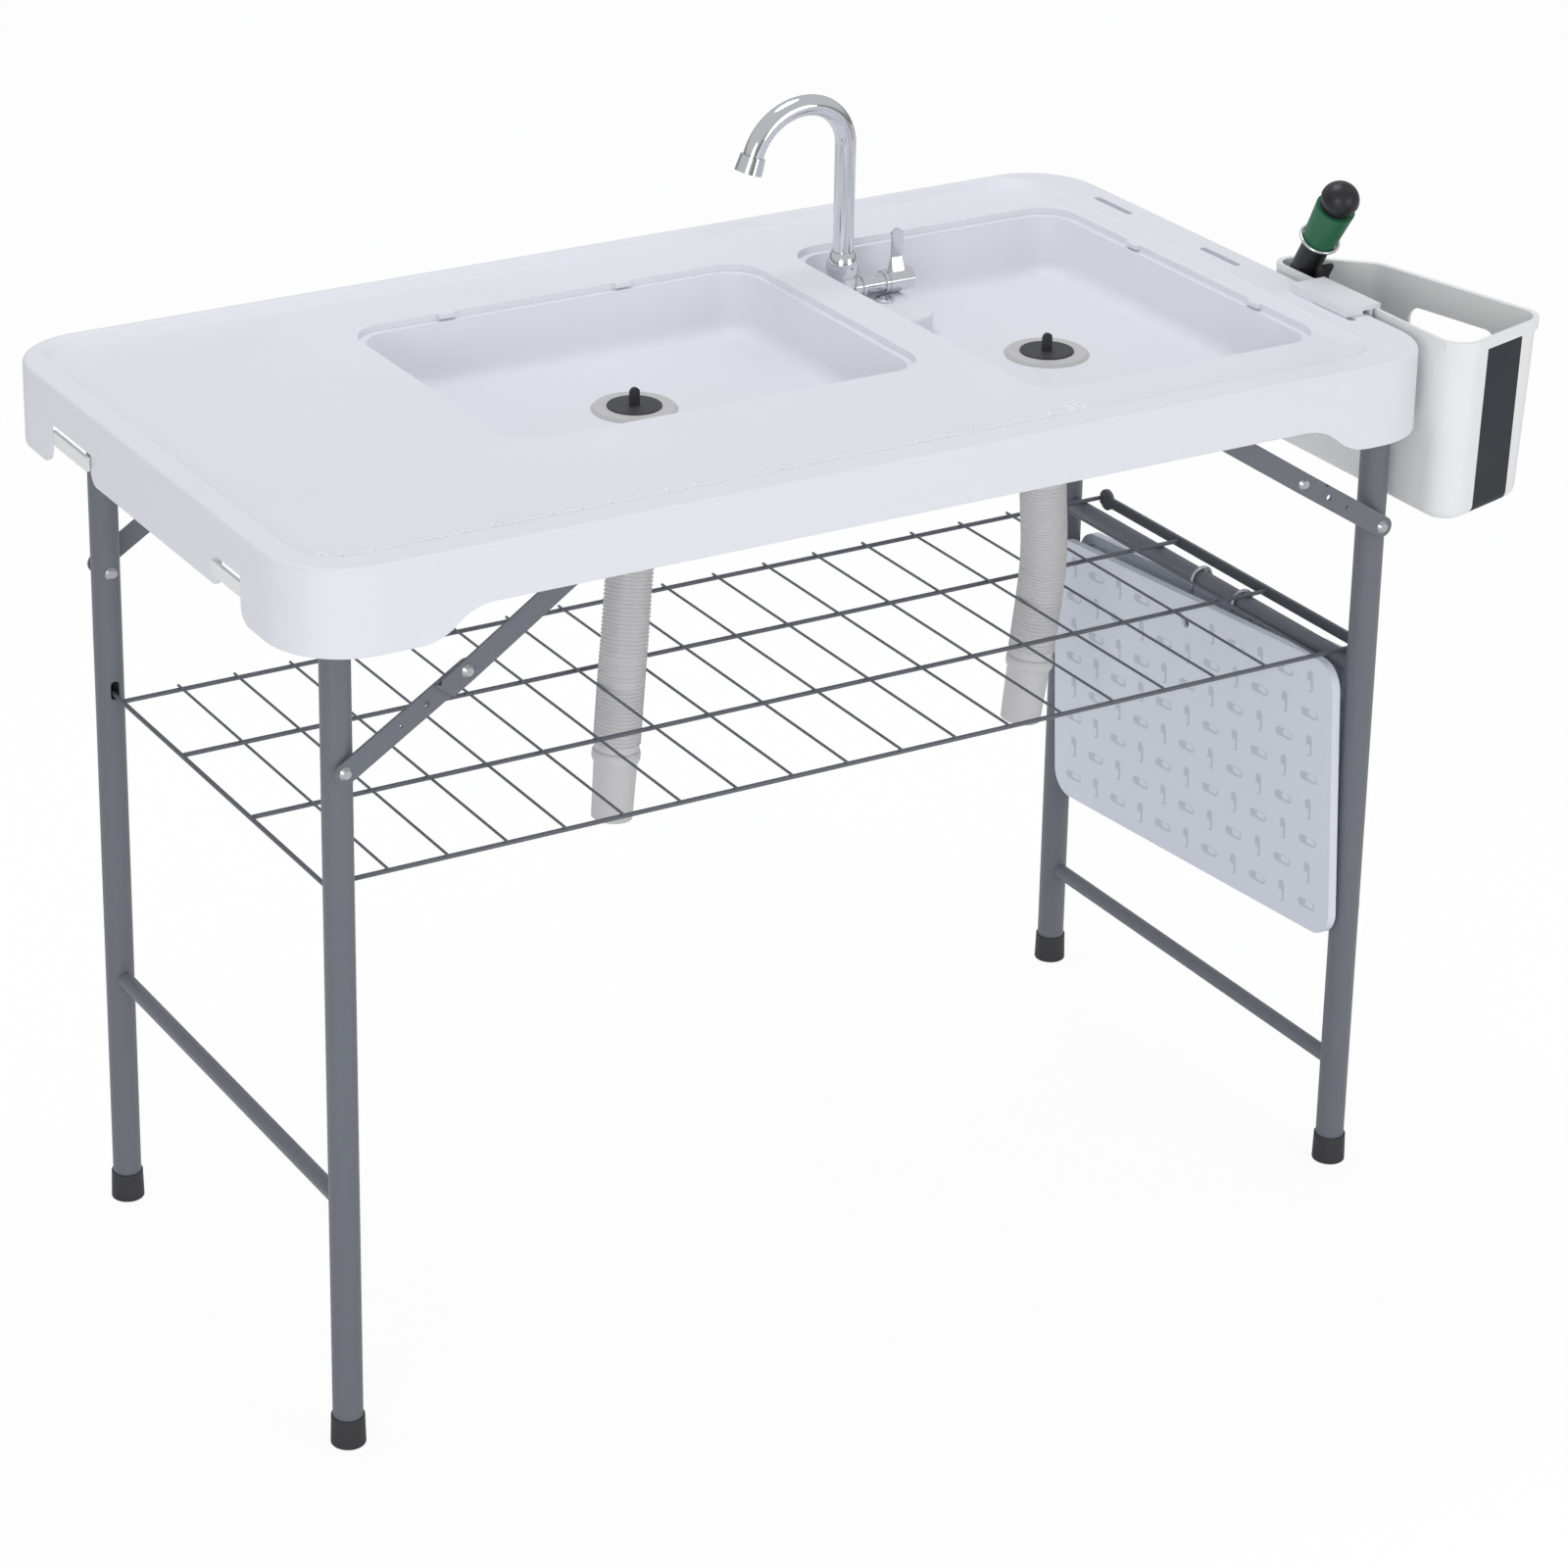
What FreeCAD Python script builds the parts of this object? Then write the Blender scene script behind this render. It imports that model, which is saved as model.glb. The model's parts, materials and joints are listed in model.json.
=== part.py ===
import FreeCAD, Part
import math
import os

# Folding camping sink stand, modelled open, in millimetres, +Z up, the long side along X.
# Places are first given from the middle of the table top, with z = 0 on the ground. When a piece
# is written out it is moved by shift_x, which centres the stand and its side basket on X = 0.

# Table top
table_length = 1058.0
table_width = 590.0
rim_top = 791.5
recess_depth = 7.0
deck_wall = 4.0
apron_wall = 3.0
apron_bottom = 745.0
lobe_bottom = 720.0
corner_radius = 65.0
recess_left = 30.0
recess_right = 51.0
recess_front = 36.0
recess_back = 15.0
recess_radius = 34.0
recess_slope = 7.0
recess_round = 2.6
rim_round = 4.2
lobe_width_left = 98.0
lobe_width_right = 80.0
lobe_slope = 64.0
lobe_round = 14.0
end_lobe = 108.0
end_band_bottom = 757.5
grip_half_front = 129.5
grip_half_back = 121.5
grip_bottom = 724.5
grip_inset = 8.0
grip_round = 12.0
grip_lip = 9.0
clip_rise = 12.0
clip_height = 12.0
rim_slot_length = 56.0
rim_slot_width = 7.0
rim_slot_pitch = 165.0
rim_slot_edge = 22.0

# Basins: centre x, centre y, length in x, length in y
left_basin = (-53.5, 54.0, 393.0, 308.0)
right_basin = (330.5, 7.0, 289.0, 412.0)
basin_depth = 55.5
basin_wall = 3.0
basin_draft = 9.0
basin_radius = 34.0
basin_floor_round = 14.0
ledge_step = 6.0
ledge_depth = 6.0
catch_length = 16.0
catch_out = 4.0
catch_height = 4.0
catch_root = 1.0
left_catch_x = (-153.0, 19.0)
right_catch_y = (85.0, -96.0)
platform_size = (86.0, 118.0)
platform_height = 19.0
platform_radius = 26.0
platform_round = 3.5

# Drains
left_drain = (-53.0, 55.0)
right_drain = (330.0, 5.0)
flange_radius = 37.2
flange_height = 2.6
strainer_radius = 23.7
tail_radius = 26.0
tail_length = 17.0
nut_radius = 33.0
nut_height = 9.0
nut_notches = 8
nut_notch_radius = 4.6
spigot_radius = 17.9
spigot_wall = 1.8
spigot_length = 10.0
plug_height = 6.0
plug_tab = (9.0, 3.0, 11.0)
plug_clearance = 0.35
plug_draft = 1.0

# Hoses, as routes from the drain to the loose end
hose_radius = 20.8
hose_wall = 2.6
rib_height = 1.6
rib_pitch = 12.0
route_cut_share = 0.45
cuff_bead_radius = 21.3
cuff_bead_length = 11.0
cuff_bead_round = 3.0
cuff_top_radius = 19.3
cuff_low_radius = 18.0
cuff_neck_radius = 17.9
cuff_neck_length = 8.0
cuff_bore_radius = 15.5
left_hose = ((-53.0, 55.0, 708.0), (-53.0, 55.0, 634.0), (-62.0, 46.0, 584.0), (-71.0, 36.0, 538.0),
             (-77.5, 30.5, 500.0), (-83.0, 29.0, 432.0))
right_hose = ((330.0, 5.0, 708.0), (330.0, 5.0, 634.0), (336.0, 10.0, 588.0), (344.0, 17.0, 545.0),
              (345.5, 21.0, 504.0), (337.0, 22.0, 436.0))
left_cuff_length = 64.0
right_cuff_length = 62.0

# Leg frames
tube_radius = 12.5
tube_wall = 1.5
left_frame_inset = 60.0
right_frame_inset = 16.0
leg_y = 224.5
pivot_z = 758.0
foot_top_radius = 13.9
foot_radius = 14.6
foot_height = 26.0
foot_floor = 4.0
foot_round = 1.2
left_bar_z = 219.5
right_bar_z = 98.0
upper_bar_z = 479.8
lower_bar_radius = 7.0
upper_bar_radius = 8.0
pivot_pin_radius = 4.0
pivot_head_radius = 6.4
pivot_head = 2.2
pin_clearance = 0.05
seat_gap = 0.2
saddle_gap = 1.2
saddle_plate = 2.5
saddle_half = 11.8
saddle_drop = 14.0

# Folding braces, in the x and z of the photographed side
link_width = 18.5
link_plate = 2.5
link_clearance = 0.4
link_off_tube = 2.2
rivet_radius = 3.5
rivet_head_radius = 5.8
rivet_head = 2.2
rivet_dome_share = 0.6
back_head = 1.5
bolt_room = 0.4
left_brace = ((0.0, 602.0), (104.0, 667.5), (233.0, 755.0))
right_brace = ((0.0, 619.0), (-88.4, 675.5), (-211.0, 755.0))
bracket_half = 13.0
bracket_plate = 3.0
eyelet_share = 0.67
eyelet_radius = 2.6
pinhole_share = 0.455
pinhole_radius = 1.3
tail_length_past = 28.0
tail_slant = 7.0
tail_notch = (9.0, 5.0)

# Lower shelf
shelf_z = 490.0
wire_radius = 2.0
cross_wire_radius = 1.2
long_wire_y = (197.5, 73.7, -61.4, -200.0)
cross_wire_count = 18
cross_wire_pitch = 52.65
cross_wire_first = 53.0
wire_nub = 2.5
shelf_tip = 6.0
end_bar_gap = 18.5
end_bar_plate = 3.0
end_bar_drop = 6.0
end_bar_rise = 4.0
ear_radius = 10.0
stud_radius = 3.5
stud_rise = 4.0
stud_out = 5.4
slot_radius = 4.0
slot_drop = 4.0
slot_rise = 13.0

# Hanging covers and their hooks
cover_size = (428.0, 257.0)
cover_plate = 3.2
cover_rim = 8.0
cover_rim_width = 9.0
cover_radius = 24.0
inner_cover_y = -6.0
outer_cover_y = 14.0
cover_tilt = 3.8
cover_hang = 17.0
keyhole_narrow = 2.1
keyhole_wide = 5.0
keyhole_length = 14.5
keyhole_slant = 28.0
cover_off_tube = 4.4
hook_wire = 1.8
hook_gap = 0.4
hook_tail = 9.5
inner_hook_y = 10.0
outer_hook_y = -52.0
inner_hook_drop = 27.0
outer_hook_drop = 30.0

# Faucet
faucet_x = 217.0
faucet_y = 162.0
faucet_base_radius = 17.0
faucet_base_height = 4.0
faucet_base_round = 2.0
water_bore = 6.0
faucet_body_radius = 13.0
faucet_body_top = 772.0
shank_radius = 9.5
shank_length = 11.2
inlet_radius = 7.9
inlet_length = 14.0
shank_nut_radius = 12.5
shank_nut_height = 7.0
collar_low_radius = 13.2
collar_bulge_radius = 14.5
collar_bulge_rise = 7.0
collar_top_radius = 10.8
collar_height = 23.0
spout_radius = 9.3
spout_wall = 1.2
spout_rise_z = 894.0
spout_first_bend = 40.4
spout_second_bend = 54.0
spout_first_turn = 83.0
spout_whole_turn = 161.0
spout_drop = 2.0
aerator_radius = 12.5
aerator_top_radius = 11.4
aerator_length = 15.0
aerator_mesh = (9.0, 12.0)
valve_z = 759.0
valve_radius = 9.0
valve_end_x = 45.0
valve_ring_radius = 10.5
valve_ring_places = ((17.5, 20.5), (41.0, 45.0))
lever_plate = 4.0
lever_width = 12.0
lever_top_z = 807.0
lever_hub_radius = 10.8
lever_hub = 25.0
lever_out = 11.0
lever_foot = (15.0, 13.0)
lever_foot_low = 4.0
lever_foot_top = 22.0
grommet_x = 252.0
grommet_y = 146.0
grommet_radius = 9.0
grommet_bore = 5.7
grommet_neck_radius = 7.2
grommet_hole_radius = 7.5
grommet_height = 2.0
grommet_neck = 6.0
grommet_round = 0.8

# Side basket, with the spray gun in it
basket_plan = ((535.0, -300.0), (652.0, -267.0), (613.0, -90.0), (535.0, -17.0))
basket_top = 795.0
basket_bottom = 632.0
basket_wall = 2.6
basket_draft = 6.0
basket_radii = (22.0, 22.0, 22.0, 16.0)
basket_low_round = 11.0
band_front_y = -320.0
band_front_x = (577.0, 629.5)
band_back_x = (547.5, 567.0)
lip_height = 9.0
lip_out = 2.4
grip_hole_middle = -174.0
grip_hole_length = 92.0
grip_hole_height = 25.0
grip_hole_z = 754.5
grip_hole_round = 11.0
hook_plate_front = 185.0
hook_plate_back = 106.0
hook_plate = 2.5
hook_top_plate = 4.0
hook_outside_drop = 38.0
tongue_front = 178.0
tongue_back = 152.0
tongue_drop = 24.0
tongue_plate = 3.0

gun_low = (551.0, -70.0, 635.2)
gun_bend = (551.0, -60.0, 786.0)
gun_lean = 30.0
gun_body_radius = 12.0
gun_neck_radius = 12.4
gun_neck_length = 42.0
gun_nozzle_radius = 6.5
gun_nozzle_length = 5.0
gun_barrel_low_radius = 15.0
gun_barrel_radius = 17.5
gun_barrel_length = 42.0
gun_cap_low_radius = 14.0
gun_cap_radius = 17.0
gun_cap_length = 26.0
gun_cap_bulge_share = 0.4
gun_cap_top_radius = 4.0
gun_trigger_length = 26.0
gun_trigger_width = 12.0
gun_trigger_plate = 4.0
gun_trigger_reach = 7.0
gun_trigger_barrel = 3.2
gun_hinge_rise = 8.0
gun_pin_radius = 1.5
gun_pin_room = 0.06
gun_cheek = 2.0
gun_cheek_room = 0.3
gun_ring_wire = 1.5
gun_ring_rise = 3.0

cut_over = 2.0

half_length = table_length / 2
half_width = table_width / 2
work_z = rim_top - recess_depth
deck_under = work_z - deck_wall
basin_floor = work_z - basin_depth
basin_under = basin_floor - basin_wall
left_x = -half_length + left_frame_inset
right_x = half_length - right_frame_inset
basket_inner_x = basket_plan[0][0]
basket_reach = 650.9
shift_x = -(basket_reach - half_length) / 2


def vec(x, y, z):
    return FreeCAD.Vector(x, y, z)


X_AXIS = vec(1, 0, 0)
Y_AXIS = vec(0, 1, 0)
Z_AXIS = vec(0, 0, 1)


def block(x0, x1, y0, y1, z0, z1):
    return Part.makeBox(x1 - x0, y1 - y0, z1 - z0, vec(x0, y0, z0))


def rod(radius, start, end):
    """Round bar from one point to another."""
    way = end - start
    return Part.makeCylinder(radius, way.Length, start, way)


def pipe(radius, wall, start, end):
    """Round tube with open ends."""
    way = end - start
    reach = vec(way.x, way.y, way.z).normalize() * cut_over
    return rod(radius, start, end).cut(rod(radius - wall, start - reach, end + reach))


def round_outline(x0, x1, y0, y1, radius, z):
    """Closed wire of a rectangle with rounded corners, lying flat at height z."""
    bend = radius * (1 - math.sqrt(0.5))
    straight = [
        ((x0 + radius, y0), (x1 - radius, y0)),
        ((x1, y0 + radius), (x1, y1 - radius)),
        ((x1 - radius, y1), (x0 + radius, y1)),
        ((x0, y1 - radius), (x0, y0 + radius)),
    ]
    middle = [(x1 - bend, y0 + bend), (x1 - bend, y1 - bend), (x0 + bend, y1 - bend), (x0 + bend, y0 + bend)]
    edges = []
    for side in range(4):
        start, end = straight[side]
        after = straight[(side + 1) % 4][0]
        edges.append(Part.makeLine(vec(start[0], start[1], z), vec(end[0], end[1], z)))
        arc = Part.Arc(vec(end[0], end[1], z), vec(*middle[side], z), vec(after[0], after[1], z))
        edges.append(arc.toShape())
    return Part.Wire(edges)


def round_block(x0, x1, y0, y1, z0, z1, radius):
    face = Part.Face(round_outline(x0, x1, y0, y1, radius, z0))
    return face.extrude(vec(0, 0, z1 - z0))


def tapered_block(low, high, z0, z1):
    """Loft between two rounded outlines, each given as x0, x1, y0, y1, radius."""
    return Part.makeLoft([round_outline(*low, z0), round_outline(*high, z1)], True, True)


def lathe(x, y, edges):
    """Solid of a closed outline, drawn in radius and height beside the axis, turned round an upright axis."""
    solid = Part.Face(Part.Wire(edges)).revolve(vec(0, 0, 0), Z_AXIS, 360)
    solid.translate(vec(x, y, 0))
    return solid


def line_between(a, b):
    """Straight edge between two points given as radius or x, and height."""
    return Part.makeLine(vec(a[0], 0, a[1]), vec(b[0], 0, b[1]))


def arc_between(a, middle, b):
    return Part.Arc(vec(a[0], 0, a[1]), vec(middle[0], 0, middle[1]), vec(b[0], 0, b[1])).toShape()


def flat_edges(shape, z):
    """Edges that lie flat at height z."""
    near = 0.01
    return [e for e in shape.Edges if abs(e.BoundBox.ZMin - z) < near and abs(e.BoundBox.ZMax - z) < near]


def smooth(shape):
    """One clean solid after a run of joins and cuts."""
    return shape.removeSplitter()


def turned(shape, middle, axis, degrees):
    moved = shape.copy()
    moved.rotate(middle, axis, degrees)
    return moved


def mirrored_y(shape):
    return shape.mirror(vec(0, 0, 0), Y_AXIS)


def save(name, *shapes):
    solids = []
    for shape in shapes:
        moved = shape.copy()
        moved.translate(vec(shift_x, 0, 0))
        solids += moved.Solids
    for solid in solids:
        if not solid.isValid() or solid.Volume <= 0:
            print("bad solid in", name)
    whole = solids[0] if len(solids) == 1 else Part.makeCompound(solids)
    whole.exportStep(os.path.join("parts", name + ".step"))


# Table top

def basin_box(basin, inset):
    x, y, length, width = basin
    return (x - length / 2 + inset, x + length / 2 - inset, y - width / 2 + inset, y + width / 2 - inset)


def basin_bowl(basin):
    """Outside of one tapered bowl, rounded at its floor."""
    low = (*basin_box(basin, ledge_step + basin_draft - basin_wall), basin_radius)
    high = (*basin_box(basin, ledge_step - basin_wall), basin_radius)
    bowl = tapered_block(low, high, basin_under, work_z - ledge_depth)
    return bowl.makeFillet(basin_floor_round + basin_wall, flat_edges(bowl, basin_under))


def basin_shell(basin):
    """Ledge and tapered bowl of one basin, as a solid that joins the deck."""
    ledge_z = work_z - ledge_depth
    ledge = round_block(*basin_box(basin, -basin_wall), ledge_z - basin_wall, work_z, basin_radius + basin_wall)
    return ledge.fuse(basin_bowl(basin))


def basin_hollow(basin):
    ledge_z = work_z - ledge_depth
    opening = round_block(*basin_box(basin, 0), ledge_z, rim_top, basin_radius)
    low = (*basin_box(basin, ledge_step + basin_draft), basin_radius - basin_wall)
    high = (*basin_box(basin, ledge_step), basin_radius - basin_wall)
    bowl = tapered_block(low, high, basin_floor, ledge_z + seat_gap)
    return opening.fuse(bowl.makeFillet(basin_floor_round, flat_edges(bowl, basin_floor)))


def faucet_platform():
    """Raised corner of the right basin that carries the faucet, open underneath."""
    x0, x1, y0, y1 = basin_box(right_basin, ledge_step)
    width, depth = platform_size
    top = basin_floor + platform_height
    outer = round_block(x0, x0 + width, y1 - depth, y1, basin_under, top, platform_radius)
    outer = outer.makeFillet(platform_round, flat_edges(outer, top))
    inner = round_block(x0 + basin_wall + basin_draft, x0 + width - basin_wall, y1 - depth + basin_wall,
                        y1 - basin_wall - basin_draft, basin_under - cut_over, top - basin_wall,
                        platform_radius - basin_wall)
    return outer.common(basin_bowl(right_basin)), inner


def lobe_curve(x, run):
    """Two arcs that rise softly from the foot of a lobe at x to the apron's lower edge."""
    rise = apron_bottom - lobe_bottom
    radius = (run * run + rise * rise) / (rise * 4)
    half_turn = math.asin(abs(run) / 2 / radius) / 2
    side = math.copysign(radius * math.sin(half_turn), run)
    lift = radius * (1 - math.cos(half_turn))
    foot = (x, lobe_bottom)
    middle = (x + run / 2, lobe_bottom + rise / 2)
    top = (x + run, apron_bottom)
    low_arc = arc_between(foot, (x + side, lobe_bottom + lift), middle)
    high_arc = arc_between(middle, (x + run - side, apron_bottom - lift), top)
    return [low_arc, high_arc]


def apron_cut(left, right):
    """Takes the apron up between two corner lobes, with a soft slope at each end."""
    low = lobe_bottom - cut_over
    edges = [line_between((left, low), (left, lobe_bottom))] + lobe_curve(left, lobe_slope)
    edges.append(line_between((left + lobe_slope, apron_bottom), (right - lobe_slope, apron_bottom)))
    edges += lobe_curve(right, -lobe_slope)[::-1]
    edges += [line_between((right, lobe_bottom), (right, low)), line_between((right, low), (left, low))]
    face = Part.Face(Part.Wire(edges))
    face.translate(vec(0, -half_width - cut_over, 0))
    return face.extrude(vec(0, table_width + cut_over * 2, 0))


def end_cut(outside, inside, top):
    """Opening in one end of the skirt between two lobes, whose lower corners it rounds."""
    notch = half_width - end_lobe
    low = lobe_bottom - cut_over
    tool = block(outside, inside, -notch, notch, low, top)
    for side in (-1, 1):
        centre = side * (notch + lobe_round)
        corner = block(outside, inside, min(side * notch, centre), max(side * notch, centre), low,
                       lobe_bottom + lobe_round)
        height = lobe_bottom + lobe_round
        tool = tool.fuse(corner.cut(rod(lobe_round, vec(outside - cut_over, centre, height),
                                        vec(inside + cut_over, centre, height))))
    return tool


def grip_panel():
    """Set back hand grip of the left end, with a shelf above and a turned lip below."""
    face = -half_length + grip_inset
    wall = block(face, face + apron_wall, -grip_half_front, grip_half_back, grip_bottom, deck_under)
    corners = [e for e in flat_edges(wall, grip_bottom) if abs(e.tangentAt(e.FirstParameter).x) > 0.9]
    wall = wall.makeFillet(grip_round, corners)
    shelf = block(-half_length, face + apron_wall, -grip_half_front, grip_half_back, end_band_bottom,
                  end_band_bottom + apron_wall)
    lip = block(face, face + grip_lip, grip_round - grip_half_front, grip_half_back - grip_round, grip_bottom,
                grip_bottom + apron_wall)
    return wall.fuse([shelf, lip])


def rim_slots():
    x = half_length - rim_slot_edge
    slots = []
    for step in (-1, 0, 1):
        y = step * rim_slot_pitch
        slots.append(round_block(x - rim_slot_width / 2, x + rim_slot_width / 2, y - rim_slot_length / 2,
                                 y + rim_slot_length / 2, deck_under - cut_over, rim_top + cut_over,
                                 rim_slot_width / 2 - seat_gap))
    return slots


def catches():
    """Small catches at the basins' edges that hold a lid down."""
    top = work_z - seat_gap
    low = top - catch_height
    back = left_basin[1] + left_basin[3] / 2
    right = right_basin[0] + right_basin[2] / 2
    half = catch_length / 2
    pieces = [block(x - half, x + half, back - catch_out, back + catch_root, low, top) for x in left_catch_x]
    pieces += [block(right - catch_out, right + catch_root, y - half, y + half, low, top) for y in right_catch_y]
    return pieces


def table_block():
    """Outside of the table top with its rounded rim and the sunk work surface."""
    outer = round_block(-half_length, half_length, -half_width, half_width, lobe_bottom, rim_top, corner_radius)
    outer = outer.makeFillet(rim_round, flat_edges(outer, rim_top))
    low = (-half_length + recess_left, half_length - recess_right, -half_width + recess_front,
           half_width - recess_back, recess_radius)
    high = (low[0] - recess_slope, low[1] + recess_slope, low[2] - recess_slope, low[3] + recess_slope,
            recess_radius + recess_slope)
    outer = outer.cut(tapered_block(low, high, work_z, rim_top))
    inner_edges = [e for e in flat_edges(outer, rim_top) if e.BoundBox.XMin > high[0] - seat_gap
                   and e.BoundBox.XMax < high[1] + seat_gap and e.BoundBox.YMin > high[2] - seat_gap
                   and e.BoundBox.YMax < high[3] + seat_gap]
    return outer.makeFillet(recess_round, inner_edges)


def tabletop():
    hollow = round_block(-half_length + apron_wall, half_length - apron_wall, -half_width + apron_wall,
                         half_width - apron_wall, lobe_bottom - cut_over, deck_under, corner_radius - apron_wall)
    body = table_block().cut(hollow)
    body = body.cut(apron_cut(-half_length + lobe_width_left, half_length - lobe_width_right))
    body = body.cut(end_cut(-half_length - cut_over, -half_length + apron_wall + cut_over, end_band_bottom))
    body = body.cut(end_cut(half_length - apron_wall - cut_over, half_length + cut_over, apron_bottom))
    platform, platform_hollow = faucet_platform()
    body = body.fuse([grip_panel(), basin_shell(left_basin), basin_shell(right_basin)])
    body = body.cut([basin_hollow(left_basin), basin_hollow(right_basin)])
    body = body.fuse(platform).cut(platform_hollow)
    body = body.fuse(catches())
    body = body.cut(rim_slots())
    for x, y in (left_drain, right_drain):
        hole = rod(tail_radius + seat_gap, vec(x, y, basin_under - cut_over), vec(x, y, basin_floor + cut_over))
        body = body.cut(hole)
    holes = ((faucet_x, faucet_y, shank_radius + seat_gap), (grommet_x, grommet_y, grommet_hole_radius))
    for x, y, radius in holes:
        body = body.cut(rod(radius, vec(x, y, basin_under), vec(x, y, basin_floor + platform_height + cut_over)))
    return smooth(body)


def end_clips():
    """Thin bridges that close the two notches of the left end."""
    x0 = -half_length + apron_wall + seat_gap
    z0 = grip_bottom + clip_rise
    z1 = z0 + clip_height
    notch = half_width - end_lobe
    front = block(x0, x0 + apron_wall, -notch - apron_wall, -grip_half_front + apron_wall, z0, z1)
    back = block(x0, x0 + apron_wall, grip_half_back - apron_wall, notch + apron_wall, z0, z1)
    grip_x = -half_length + grip_inset - seat_gap
    room = block(grip_x, half_length, -half_width, half_width, z0 - cut_over, z1 + cut_over)
    return [front.cut(room), back.cut(room)]


# Drains and hoses

def drain_flange(x, y):
    top = basin_floor + flange_height
    plate = Part.makeCone(flange_radius, flange_radius - flange_height, flange_height - seat_gap,
                          vec(x, y, basin_floor + seat_gap))
    tail = rod(tail_radius, vec(x, y, basin_under - tail_length + basin_wall), vec(x, y, top - seat_gap))
    bore = rod(strainer_radius, vec(x, y, basin_floor - flange_height), vec(x, y, top + cut_over))
    waste = rod(spigot_radius - spigot_wall, vec(x, y, lobe_bottom - tail_length * 2), vec(x, y, top))
    low = basin_under - tail_length + basin_wall
    spigot = rod(spigot_radius, vec(x, y, low - spigot_length), vec(x, y, low))
    return smooth(plate.fuse([tail, spigot]).cut([bore, waste]))


def drain_nut(x, y):
    top = basin_under - seat_gap
    nut = rod(nut_radius, vec(x, y, top - nut_height), vec(x, y, top))
    for step in range(nut_notches):
        angle = math.tau * step / nut_notches
        place = vec(x + nut_radius * math.cos(angle), y + nut_radius * math.sin(angle), top - nut_height - cut_over)
        nut = nut.cut(Part.makeCylinder(nut_notch_radius, nut_height + cut_over * 2, place))
    return nut.cut(rod(tail_radius + seat_gap, vec(x, y, top - nut_height - cut_over), vec(x, y, top + cut_over)))


def drain_plug(x, y):
    """Soft plug with a finger tab, sitting in the flange."""
    low = basin_floor - flange_height + seat_gap
    radius = strainer_radius - plug_clearance
    disc = Part.makeCone(radius - plug_draft, radius, plug_height, vec(x, y, low))
    length, plate, height = plug_tab
    tab = block(x - length / 2, x + length / 2, y - plate / 2, y + plate / 2, low + plug_height, low + plug_height + height)
    tab = tab.fuse(rod(length / 2, vec(x, y - plate / 2, low + plug_height + height),
                       vec(x, y + plate / 2, low + plug_height + height)))
    return smooth(disc.fuse(tab))


def route_edges(route):
    """Straight runs joined by tangent arcs, and the radius of each arc."""
    points = [vec(*p) for p in route]
    runs = [points[i + 1] - points[i] for i in range(len(points) - 1)]
    edges = []
    radii = []
    start = points[0]
    for i in range(1, len(points) - 1):
        turn = runs[i - 1].getAngle(runs[i])
        cut = route_cut_share * min(runs[i - 1].Length, runs[i].Length)
        before = points[i] - vec(*runs[i - 1]).normalize() * cut
        after = points[i] + vec(*runs[i]).normalize() * cut
        radius = cut / math.tan(turn / 2)
        inward = (before + after) * 0.5 - points[i]
        distance = radius / math.cos(turn / 2)
        middle = points[i] + inward.normalize() * (distance - radius)
        edges.append(Part.makeLine(start, before))
        edges.append(Part.Arc(before, middle, after).toShape())
        radii.append(round(radius, 1))
        start = after
    edges.append(Part.makeLine(start, points[-1]))
    return edges, radii


def route_spots(edges, spacing, clear):
    """Points and directions along the route, evenly spaced, away from both ends."""
    total = sum(edge.Length for edge in edges)
    count = int((total - clear * 2) / spacing)
    spots = []
    for step in range(count * 4 + 1):
        along = clear + (total - clear * 2) * step / (count * 4)
        for edge in edges:
            if along <= edge.Length + 1e-6:
                where = edge.getParameterByLength(min(along, edge.Length))
                spots.append((edge.valueAt(where), edge.tangentAt(where)))
                break
            along -= edge.Length
    return spots


def ring(place, way, radius):
    """Circle square to the route, with its seam kept towards X."""
    side = X_AXIS - way * way.dot(X_AXIS)
    circle = Part.Circle(place, way, radius)
    circle.XAxis = side.normalize()
    return Part.Wire(circle.toShape())


def hose(name, route):
    """Ribbed drain hose with its bore."""
    edges, radii = route_edges(route)
    length = sum(edge.Length for edge in edges)
    print(name, "length", round(length, 1), "radii", radii)
    clear = hose_radius
    spots = route_spots(edges, rib_pitch, clear)
    first = (vec(*route[0]), edges[0].tangentAt(0))
    last_edge = edges[-1]
    last = (vec(*route[-1]), last_edge.tangentAt(last_edge.LastParameter))
    heights = (0.0, rib_height, rib_height, 0.0)
    outer_radius = hose_radius - rib_height
    outer = [ring(*first, outer_radius)]
    for index, spot in enumerate(spots):
        outer.append(ring(*spot, outer_radius + heights[index % 4]))
    outer.append(ring(*last, outer_radius))
    inner = [ring(first[0] - first[1] * cut_over, first[1], hose_radius - hose_wall)]
    for index in range(0, len(spots), 8):
        inner.append(ring(*spots[index], hose_radius - hose_wall))
    inner.append(ring(last[0] + last[1] * cut_over, last[1], hose_radius - hose_wall))
    body = Part.makeLoft(outer, True, True)
    return body.cut(Part.makeLoft(inner, True, True))


def hose_cuff(route, length):
    """Rubber cuff on the loose end of a hose: a neck inside the hose, a bead and a tapered sleeve."""
    end = vec(*route[-1])
    way = (end - vec(*route[-2])).normalize()
    top = end + way * seat_gap
    low = end + way * length
    bead_end = top + way * cuff_bead_length
    bead = rod(cuff_bead_radius, top, bead_end)
    bead = bead.makeFillet(cuff_bead_round, bead.Edges[0:1] + bead.Edges[2:3])
    sleeve = Part.makeCone(cuff_top_radius, cuff_low_radius, (low - top).Length, top, way)
    neck = rod(cuff_neck_radius, end - way * cuff_neck_length, top + way)
    bore = rod(cuff_bore_radius, end - way * (cuff_neck_length + cut_over), low + way * cut_over)
    return smooth(bead.fuse([sleeve, neck]).cut(bore))


# Leg frames

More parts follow.
